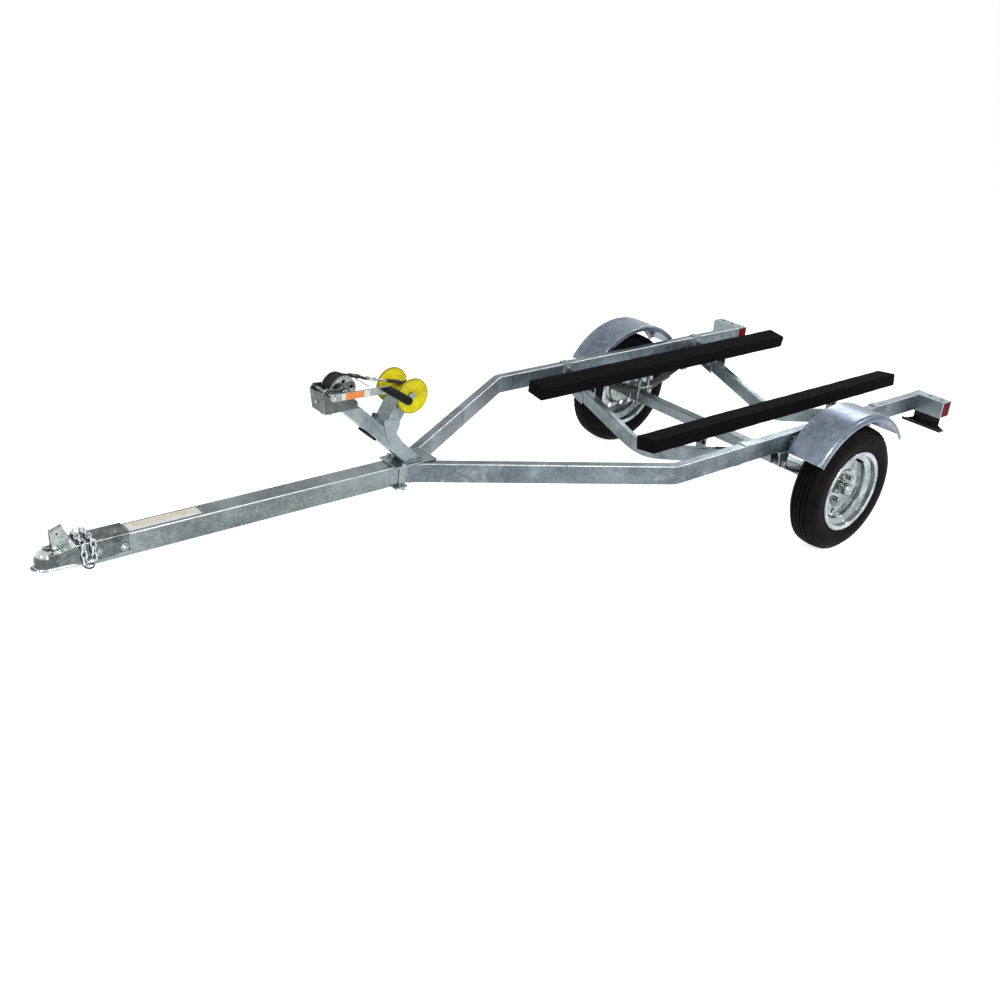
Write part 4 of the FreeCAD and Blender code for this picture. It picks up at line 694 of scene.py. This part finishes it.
# ---- wheels ----
def wheel_edges(side, sign):
    """Rolled rim edges, the disc's weld, the dust cap and the valve of one wheel."""
    centre, body = (0, sign * WHEEL_Y, 0), side + "_wheel"
    for name, radius, across, thick, finish in (
            ("_rim_rolled_edge", RIM_FLANGE_RADIUS - 1.6, 60.6, 2.6, rim_zinc),
            ("_rim_bead_ridge", RIM_BEAD_RADIUS - 3.6, 39.0, 1.8, rim_zinc),
            ("_disc_weld", 138.2, 2.4, 2.4, cast_zinc),
            ("_dust_cap_lip", 26.6, 22.6, 1.9, bright_zinc)):
        ring = [(radius + r, sign * across + y) for r, y in circle(thick, 10)]
        turned(side + name, ring, 160, centre, 60, finish, body)
    cap = [(0, 53.2), (12, 52.9), (18, 51.6), (20.6, 49.6), (20.6, 49.0), (0, 49.0)]
    stem = [(0, 0), (7.0, 0), (7.4, 4), (5.0, 8), (4.2, 20), (3.8, 21), (3.8, 27), (3.0, 28.6),
            (0, 28.6)]
    valve = math.radians(130)
    valve_at = (VALVE_CIRCLE * math.cos(valve), sign * (WHEEL_Y + 5.0),
                VALVE_CIRCLE * math.sin(valve))
    for name, profile, steps, place, sharp_deg, finish in (
            ("_dust_cap_crown", cap, 48, centre, 50, bright_zinc),
            ("_valve_stem", stem, 24, valve_at, 35, black_plastic)):
        turned(side + name, [(r, sign * y) for r, y in profile], steps, place, sharp_deg, finish,
               body)


for side, sign in SIDES:
    wheel_edges(side, sign)


# ---- bow bells and roller ----
def bell(side, sign):
    """A dished bell with moulded ribs on its open face and a rolled rim."""
    back = [(9.0, 0), (23, 0), (24, 1.2), (24, 7), (26.5, 10), (34, 12.2), (50, 16.8),
            (60, 19.8), (63.6, 21.8), (65, 25), (64.4, 28.4), (62, 30), (58.5, 29.6)]
    face = [(55, 28.6), (50, 26.6), (45, 24.8), (40, 22.8), (35, 20.8), (30, 18.8), (26, 17.4),
            (20, 16.2), (9.0, 16)]

    def ribbed(r, y, a):
        on_face = 28 < r < 56 and y > 15 + (r - 24) * 0.30
        return r, sign * (y + (2.2 * max(0.0, math.cos(a * 12)) ** 8 if on_face else 0.0))
    turned(side + "_bow_bell_ribbed", back + face, 192, (BOW_X, sign * BELL_Y, BOW_Z), 50,
           bow_yellow, "bow_roller", (side + "_bow_bell",), shape=ribbed)


for side, sign in SIDES:
    bell(side, sign)

half_roller = [(9.0, 32.0), (25.5, 32.0), (27.4, 31.0), (28.0, 28.5), (27.6, 24.0), (26.0, 22.8),
               (26.0, 21.2), (27.1, 20.0), (26.2, 13.0), (24.6, 11.8), (24.6, 10.2), (25.5, 9.0),
               (24.4, 2.0)]
turned("bow_roller_grooved", half_roller + [(r, -y) for r, y in reversed(half_roller)], 96,
       (BOW_X, 0, BOW_Z), 38, bow_yellow, "bow_roller", ("bow_roller",))


# ---- crank grip ----
grip_centre = (CRANK_X - GRIP_REACH * math.cos(CRANK_TILT), 0,
               CRANK_Z - GRIP_REACH * math.sin(CRANK_TILT))
grip = [(6.6, 82.4), (12.4, 82.4), (14.0, 83.6), (15.0, 86.0), (15.0, 90.0), (13.4, 92.4)]
for ridge in range(14):
    y = 94.0 + 7.6 * ridge
    grip += [(14.7, y + 1.2), (14.9, y + 3.0), (14.7, y + 4.8), (13.8, y + 6.4)]
grip += [(14.6, 202.0), (13.6, 205.2), (10.5, 206.8), (0, 207.2), (0, 195.4), (6.6, 195.4)]
turned("crank_grip_ribbed", grip, 64, grip_centre, 45, black_plastic, "winch_crank",
       ("crank_grip",))


# ---- webbing ----
def wound_roll():
    """The strap's turns on the drum: each layer shows as a spiral ridge on both sides."""
    layers, low, high = 10, 16.2, 44.8
    radii = [low + (high - low) * k / 40 for k in range(41)]
    profile = [(r, 25.2) for r in radii] + [(r, -26.2) for r in reversed(radii)]

    def spiral(r, y, a):
        if r < low + 0.01 or r > high - 0.01:
            return r, y * 0.985
        turn = ((r - low) / ((high - low) / layers) - a / FULL_TURN) % 1.0
        return r, y + math.copysign(0.8 * math.sin(math.pi * turn) ** 0.6, y)
    turned("wound_strap_layers", profile, 144, (GEAR_X, 0, GEAR_Z), 60, strap_webbing,
           "winch_drum", ("wound_strap",), shape=spiral)


def ribbon(name, path, width, thick, finish, replaces=()):
    """A flat strap along level (x, z) points, with bound edges, as a closed mesh."""
    half, t = width / 2, thick / 2
    upper = [(-half, t * 0.35), (-half + 1.2, t), (-half + 3.2, t * 0.86), (0, t * 0.86),
             (half - 3.2, t * 0.86), (half - 1.2, t), (half, t * 0.35)]
    lower = [(y, -h) for y, h in reversed(upper)]
    outline = lower[-1:] + upper + lower[:-1]
    points = []
    for (ax, az), (bx, bz) in zip(path, path[1:]):
        steps = max(2, int(math.hypot(bx - ax, bz - az) / 5))
        points += [(ax + (bx - ax) * k / steps, az + (bz - az) * k / steps)
                   for k in range(steps)]
    points.append(path[-1])
    bm = bmesh.new()
    rings = []
    for (x0, z0), (x, z), (x1, z1) in zip(points[:1] + points, points, points[1:] + points[-1:]):
        run = Vector((x1 - x0, 0, z1 - z0)).normalized()
        up = Vector((-run.z, 0, run.x))
        rings.append([bm.verts.new(Vector((x, 0, z)) + Vector((0, y, 0)) + up * h)
                      for y, h in outline])
    skin(bm, rings)
    piece(name, mesh_from(bm, name, 50), finish, "frame", replaces)


# The free strap leaves the roll on a tangent and runs straight to the hook.
strap_reach = math.hypot(HOOK_X - GEAR_X, HOOK_Z - GEAR_Z)
leaving = math.atan2(HOOK_Z - GEAR_Z, HOOK_X - GEAR_X) - math.acos(ROLL_RADIUS / strap_reach)
off = (math.cos(leaving), math.sin(leaving))
strap_start, strap_end = ((x + off[0] * out, z + off[1] * out) for x, z, out in (
    (GEAR_X, GEAR_Z, ROLL_RADIUS + HALF_STRAP), (HOOK_X, HOOK_Z, HALF_STRAP)))
run = Vector((strap_end[0] - strap_start[0], strap_end[1] - strap_start[1])).normalized()


def beside(place, ahead, aside):
    """A level (x, z) place moved along the free strap and out from its face."""
    return (place[0] + run.x * ahead + off[0] * aside, place[1] + run.y * ahead + off[1] * aside)


tip = beside((HOOK_X, HOOK_Z), HOOK_LENGTH + HALF_STRAP, -0.5)
patch_run = Vector((LOOP_BEND[0] - tip[0], LOOP_BEND[1] - tip[1])).normalized()
patch = [(tip[0] + patch_run.x * d + patch_run.y * 2.1, tip[1] + patch_run.y * d + 1.9)
         for d in (1.0, 36.0)]

wound_roll()
ribbon("winch_strap_webbing", [strap_start, strap_end], STRAP_WIDE, 2 * HALF_STRAP,
       strap_webbing, ("winch_strap",))
ribbon("winch_strap_fold", [beside(strap_end, -d, 2 * HALF_STRAP) for d in (46.0, 1.0)], 39.0,
       2.8, strap_webbing)
# A thin dark strip in the webbing finish, from ahead of the hook down towards the crank grip.
ribbon("winch_strap_tail", [(2041.0, 619.6), (2026.0, 606.0), (2002.0, 589.0), (1979.0, 575.0)],
       18.0, 2.4, strap_webbing)
ribbon("hook_loop_webbing", [tip, LOOP_BEND, (1820.0, 565.8)], 20.0, 3.0, strap_webbing,
       ("hook_loop",))
ribbon("hook_loop_patch", patch, 19.0, 1.0, label_white)
ribbon("hook_loop_keeper", [(1910.0, 583.2), (1846.0, 568.6)], 36.0, 4.4, strap_webbing)
stitch_rows = [beside(strap_end, -d, 4.4) for d in (6.0, 12.0, 34.0, 40.0)]
grow("strap_stitches", STITCHES,
     [((x, y, z), OUT, 0.0) for x, z in stitch_rows for y in range(-16, 17, 4)],
     label_cream, smooth=True, Thread_Radius=0.5)


# ---- post pad ----
def softened(name, node, radius):
    """A copy of the node's own closed shape with rounded edges, parked as the node is."""
    bm = bmesh.new()
    bm.from_mesh(nodes[node].data)
    bmesh.ops.transform(bm, matrix=nodes[node].matrix_world, verts=bm.verts)
    bmesh.ops.remove_doubles(bm, verts=bm.verts, dist=1e-6)
    bmesh.ops.dissolve_limit(bm, angle_limit=0.01, verts=bm.verts, edges=bm.edges)
    bmesh.ops.bevel(bm, geom=bm.edges[:], offset=radius, segments=3, profile=0.5,
                    affect="EDGES")
    bmesh.ops.recalc_face_normals(bm, faces=bm.faces)
    mesh = bpy.data.meshes.new(name)
    bm.to_mesh(mesh)
    bm.free()
    piece(name, mesh, black_plastic, "frame", (node,), smooth=False)


softened("post_pad_moulded", "post_pad", 0.0018)

# ---- winch front ----
plate("winch_front_corner", [(2189.4, 17.0, 566.0), (2189.4, 41.6, 566.0), (2190.6, 41.6, 601.0),
                             (2190.6, 17.0, 601.0)], AHEAD, 2.8, cast_zinc, bevel=0.8)
plate("winch_front_cover", [(2184.0, -37.6, 569.0), (2184.0, 19.0, 569.0), (2187.4, 19.0, 594.0),
                            (2187.4, -37.6, 594.0)], AHEAD, 3.0, cast_zinc, bevel=0.8)
grow("winch_front_boss", WHEEL_NUTS, [((2186.0, 6.0, 560.0), AHEAD, 0.4)], bright_zinc,
     Head_Radius=8.5, Head_Height=6.0)


# ---- fasteners ----
def mirrored(rows):
    """The same rows on the left and on the right; a row on the middle plane stays single."""
    return rows + [((x, -y, z), (fx, -fy, fz), roll) for (x, y, z), (fx, fy, fz), roll in rows
                   if y]


def bolts(name, rows, finish, head, tall, washer, stud, body="frame"):
    grow(name, HEX_BOLTS, rows, finish, body, Head_Radius=head, Head_Height=tall,
         Washer_Radius=washer, Stud_Radius=stud)


saddle_bolts, bunk_bolts = [], []
for x in CROSSMEMBERS_X:
    front = CROSSMEMBER_HALF + SADDLE_THICK
    saddle_bolts += [((x + front, 404.0, 158.0), AHEAD, 0.4),
                     ((x - front, 404.0, 158.0), BACK, 0.4),
                     ((x, RAIL_INNER_Y - SADDLE_THICK, 240.0), IN, 0.2)]
    bunk_bolts += [((x + CROSSMEMBER_HALF, y, 196.0), AHEAD, 0.5) for y in (322.0, 348.0)]
    bunk_bolts += [((x + dx, BUNK["y"], 218.2), DOWN, 0.1) for dx in (2.05, -19.95)]

bolts("coupler_bolts", mirrored([((2972, COUPLER_HALF, 226), OUT, 0.3),
                                 ((2890, COUPLER_HALF, 219), OUT, 0.7)]),
      bright_zinc, 10.5, 7.0, 13.0, 6.0)
# Two rivet heads on the sleeve top in the near-white label finish: a painted highlight.
grow("coupler_rivets", WELD_RIPPLES, [((2991.0, 10.0, 262.7), UP, 0.0),
                                      ((2903.7, 11.0, 262.7), UP, 0.0)],
     label_white, smooth=True, Bead_Radius=3.4)
bolts("spring_pin_nuts", mirrored([((SPRING_PIN_X, 573.0, 132), OUT, 0.2),
                                   ((SPRING_PIN_X, 515.0, 132), IN, 0.5)]),
      cast_zinc, 11.0, 8.0, 13.0, 7.0)
bolts("saddle_bolts", mirrored(saddle_bolts), cast_zinc, 8.5, 6.0, 11.0, 4.8)
bolts("bunk_bolts", mirrored(bunk_bolts), black_paint, 7.0, 5.0, 9.5, 4.0)
bolts("winch_base_bolts", [((2166, 0, 520.0), DOWN, 0.0), ((2150, 26, 520.0), DOWN, 0.5),
                           ((2150, -26, 520.0), DOWN, 0.9), ((2066, 18, 524.0), UP, 0.3),
                           ((2066, -18, 524.0), UP, 0.3)], bright_zinc, 8.0, 6.0, 10.5, 4.5)
bolts("drum_axle_nuts", mirrored([((GEAR_X, 48.0, GEAR_Z), OUT, 0.2)]),
      bright_zinc, 10.0, 6.0, 11.5, 5.0)
bolts("crank_nut", [((CRANK_X, 82.0, CRANK_Z), OUT, 0.35)], bright_zinc, 11.0, 7.0, 12.0, 5.5,
      "winch_crank")
bolts("lamp_guard_bolts", mirrored([((GUARD_X + 20.0, 600.0, RAIL_TOP), UP, 0.2),
                                    ((GUARD_X + 20.0, 660.0, RAIL_TOP), UP, 0.6)]),
      cast_zinc, 5.5, 4.0, 7.5, 3.0)

for side, sign in SIDES:
    studs = circle(STUD_CIRCLE, 5)
    nuts = [((x, sign * (WHEEL_Y + 4.3), z), (0, sign, 0), FULL_TURN * i / 5)
            for i, (x, z) in enumerate(studs)]
    grow(side + "_wheel_nuts", WHEEL_NUTS, nuts, bright_zinc, side + "_wheel",
         (side + "_lug_nuts",), "zinc", Head_Radius=12.0, Head_Height=17.0)

clamp_threads = []
for x in (-U_BOLT_X, U_BOLT_X):
    for y in (518.0, 570.0):
        clamp_threads += along((x, y, 73.0), (x, y, 86.0), 1.6)
grow("clamp_threads", THREAD_TURNS, mirrored(clamp_threads), bright_zinc, Thread_Radius=5.1,
     Thread_Pitch=1.6)


# ---- weld beads ----
def weld(name, runs, size, middle_runs=()):
    """Beads along the runs on both sides of the trailer, and along those that cross it."""
    right = [((a[0], -a[1], a[2]), (b[0], -b[1], b[2])) for a, b in runs]
    places = []
    for start, end in [*middle_runs, *runs, *right]:
        places += along(start, end, size * 1.15)
    grow(name, WELD_RIPPLES, places, galvanised, smooth=True, Bead_Radius=size)


weld("tongue_weld", [((1708, 38.6, 260.2), (1752, 38.6, 260.2)),
                     ((1822, 38.6, 186), (1822, 38.6, 256)),
                     ((1740, 38.6, 182.6), (1818, 38.6, 182.6))], 2.6)
weld("hanger_weld", [((x - 34, 571.0, RAIL_UNDERSIDE), (x + 34, 571.0, RAIL_UNDERSIDE))
                     for x in (SPRING_PIN_X, -SPRING_PIN_X)], 2.2)
weld("post_weld", [((1766, 39, 266.5), (1833, 39, 266.5))], 2.4,
     [((1835.5, -36, 266.5), (1835.5, 36, 266.5))])
weld("guard_weld", [((-693, 565.0, 186), (-693, 565.0, 256))], 2.2)


# ---- coupler dressing ----
def round_bar(name, path, radius, finish):
    """A closed round bar along level points."""
    bm = bmesh.new()
    path = [Vector(point) for point in path]
    rings = []
    for before, point, after in zip(path[:1] + path, path, path[1:] + path[-1:]):
        run = (after - before).normalized()
        flat = run.cross(Vector(UP))
        flat = flat.normalized() if flat.length > 0.01 else Vector(OUT)
        rings.append([bm.verts.new(point + flat * c + run.cross(flat) * s)
                      for c, s in circle(radius, 12)])
    skin(bm, rings)
    piece(name, mesh_from(bm, name, 50), finish)


def coupler_lip():
    """The rolled lower edge, back along both sides and round the nose."""
    low, angles = COUPLER_LOW + 3.2, [math.radians(-90 + 180 * k / 24) for k in range(25)]
    nose = [(COUPLER_BALL_X + COUPLER_NOSE * math.cos(a), COUPLER_NOSE * math.sin(a), low + 1)
            for a in angles]
    return [(2871.0, -38.5, low), (3040.0, -37.5, low), *nose, (3040.0, 37.5, low),
            (2871.0, 38.5, low)]


def chain_rows(link_pitch):
    """Chain over the coupler and down both sides, sampled a link apart."""
    y, top, low, bend = COUPLER_HALF + 7.3, 270.0, 203.0, 12
    x0, x1 = COUPLER_BALL_X - 100, COUPLER_BALL_X - 130
    corners = [Vector(c) for c in (
        (x0, -y, low), (x0, -y, top), (x0, y, top), (x0, y, low), (x1, y, low), (x1, y, top),
        (x1, -y, top), (x1, -y, low))]
    path = corners[:1]
    for a, b, c in zip(corners, corners[1:], corners[2:]):
        start, end = b + (a - b).normalized() * bend, b + (c - b).normalized() * bend
        path += [start.lerp(b, t).lerp(b.lerp(end, t), t) for t in (0.0, 0.25, 0.5, 0.75, 1.0)]
    path.append(corners[-1])
    rows, travelled = [], 0.0
    for a, b in zip(path, path[1:]):
        length = (b - a).length
        while travelled + length >= len(rows) * link_pitch:
            t = (len(rows) * link_pitch - travelled) / length if length else 0
            rows.append((tuple(a.lerp(b, t)), tuple((b - a).normalized()),
                         math.radians(45 if len(rows) % 2 else -45)))
        travelled += length
    return rows


# The lip is in the brighter chain zinc rather than the coupler's own: a painted highlight along its lower edge.
round_bar("coupler_rolled_lip", coupler_lip(), 3.4, chain_zinc)
grow("safety_chain_links", CHAIN_LINKS, chain_rows(21.5), chain_zinc, "frame",
     ("safety_chain",), "zinc", smooth=True, Link_Length=33.0, Link_Width=21.0, Wire_Radius=2.9)
round_bar("safety_chain_clip", [(3020, 49, 192), (3014, 50.5, 185), (3004, 51.5, 181.5),
                                (2994, 51.5, 183), (2990, 51, 189), (2994, 50.5, 195),
                                (3001, 50, 196)], 2.7, black_paint)


# ---- blank labels ----
def on_arm(x, z):
    """A place on the crank arm's outer face, which slopes two degrees."""
    dx, c, s = x - CRANK_X, math.cos(CRANK_TILT), math.sin(CRANK_TILT)
    return (CRANK_X + dx * c - z * s, CRANK_FACE_Y, CRANK_Z + dx * s + z * c)


for name, x0, x1, y0, y1, z, thick, finish in (
        ("tongue_label", 2622, 2863, -27, 24, RAIL_TOP + 0.02, 0.3, label_white),
        ("tongue_label_band", 2640, 2845, -22, 4, RAIL_TOP + 0.32, 0.1, label_cream)):
    plate(name, [(x0, y0, z), (x1, y0, z), (x1, y1, z), (x0, y1, z)], UP, thick, finish)
for name, x0, x1, finish in (("crank_arm_label", 2052, 2124, label_orange),
                             ("crank_arm_label_end", 2124.5, 2140, label_white),
                             ("crank_arm_label_front", 2030, 2051.5, label_white)):
    corners = [on_arm(x0, -11.5), on_arm(x1, -11.5), on_arm(x1, 11.5), on_arm(x0, 11.5)]
    plate(name, corners, OUT, 0.3, finish, "winch_crank")


# ---- stage ----
def seen_directly(tree):
    """One for the camera, reflections and glass, and nothing for the light on the object."""
    path = tree.nodes.new("ShaderNodeLightPath").outputs
    return larger(tree, larger(tree, path["Is Camera Ray"], path["Is Glossy Ray"]),
                  path["Is Transmission Ray"])


def floor():
    """A pale diffuse floor that keeps the shadow and turns white away from the trailer."""
    mesh = bpy.data.meshes.new("studio_floor")
    mesh.from_pydata([(-150, -150, 0), (150, -150, 0), (150, 150, 0), (-150, 150, 0)], [],
                     [(0, 1, 2, 3)])
    obj = bpy.data.objects.new("studio_floor", mesh)
    bpy.context.collection.objects.link(obj)
    made = bpy.data.materials.new("studio_floor_white")
    made.use_nodes = True
    tree = made.node_tree
    tree.nodes.clear()
    place = tree.nodes.new("ShaderNodeTexCoord").outputs["Object"]
    away = vector_maths(tree, "LENGTH", place, out="Value")
    lift = ramp(tree, away, 1.5, 7.0, 0.74, 1.0)
    glow = add(tree, "ShaderNodeEmission", Strength=times(tree, seen_directly(tree), lift))
    diffuse = add(tree, "ShaderNodeBsdfDiffuse", Color=(0.88, 0.88, 0.88))
    both = tree.nodes.new("ShaderNodeAddShader")
    tree.links.new(diffuse.outputs[0], both.inputs[0])
    tree.links.new(glow.outputs[0], both.inputs[1])
    add(tree, "ShaderNodeOutputMaterial", Surface=both.outputs[0])
    mesh.materials.append(made)


def surroundings():
    """Soft light from all round behind a white background."""
    world = bpy.data.worlds.new("studio_world")
    bpy.context.scene.world = world
    world.use_nodes = True
    tree = world.node_tree
    tree.nodes.clear()
    light = add(tree, "ShaderNodeBackground", Color=(0.96, 0.98, 1.0), Strength=0.42)
    white = add(tree, "ShaderNodeBackground", Color=(1, 1, 1), Strength=1.0)
    mix = add(tree, "ShaderNodeMixShader", Fac=seen_directly(tree))
    tree.links.new(light.outputs[0], mix.inputs[1])
    tree.links.new(white.outputs[0], mix.inputs[2])
    add(tree, "ShaderNodeOutputWorld", Surface=mix.outputs[0])


def lamp(name, place, size, power, colour, aim=(0, 0, 0.3)):
    data = bpy.data.lights.new(name, "AREA")
    data.shape = "DISK"
    data.size = size
    data.energy = power
    data.color = colour
    obj = bpy.data.objects.new(name, data)
    obj.location = place
    obj.rotation_euler = (Vector(aim) - Vector(place)).to_track_quat("-Z", "Y").to_euler()
    bpy.context.collection.objects.link(obj)


def camera():
    """Three-quarter view from ahead and left, placed level with the trailer and parked with it."""
    yaw, down, roll = math.radians(-131.013), math.radians(-26.074), math.radians(4.827)
    ahead = Vector((math.cos(yaw) * math.cos(down), math.sin(yaw) * math.cos(down),
                    math.sin(down)))
    right = ahead.cross(Vector(UP)).normalized()
    up = right.cross(ahead)
    level_turn = Matrix((right * math.cos(roll) + up * math.sin(roll),
                         up * math.cos(roll) - right * math.sin(roll), -ahead)).transposed()
    turn = PARKED.to_quaternion().to_matrix() @ level_turn
    data = bpy.data.cameras.new("three_quarter_camera")
    data.lens = 40.27
    data.sensor_width = 36.0
    obj = bpy.data.objects.new("three_quarter_camera", data)
    obj.matrix_world = (Matrix.Translation(PARKED @ Vector((3995.7, 3057.0, 1957.0)))
                        @ turn.to_4x4())
    bpy.context.collection.objects.link(obj)
    bpy.context.scene.camera = obj


floor()
surroundings()
lamp("key_lamp", (1.5, 5.2, 4.0), 1.5, 190, (1.0, 0.99, 0.97))
lamp("front_lamp", (5.5, 1.5, 3.2), 1.6, 130, (0.97, 0.99, 1.0), (-0.8, 0, 0.3))
lamp("edge_lamp", (-4.5, 3.5, 5.0), 0.8, 70, (1.0, 1.0, 1.0))
lamp("rim_lamp", (-4.5, -2.0, 4.0), 2.0, 60, (0.95, 0.98, 1.0))
camera()
bpy.context.scene.view_settings.view_transform = "Standard"
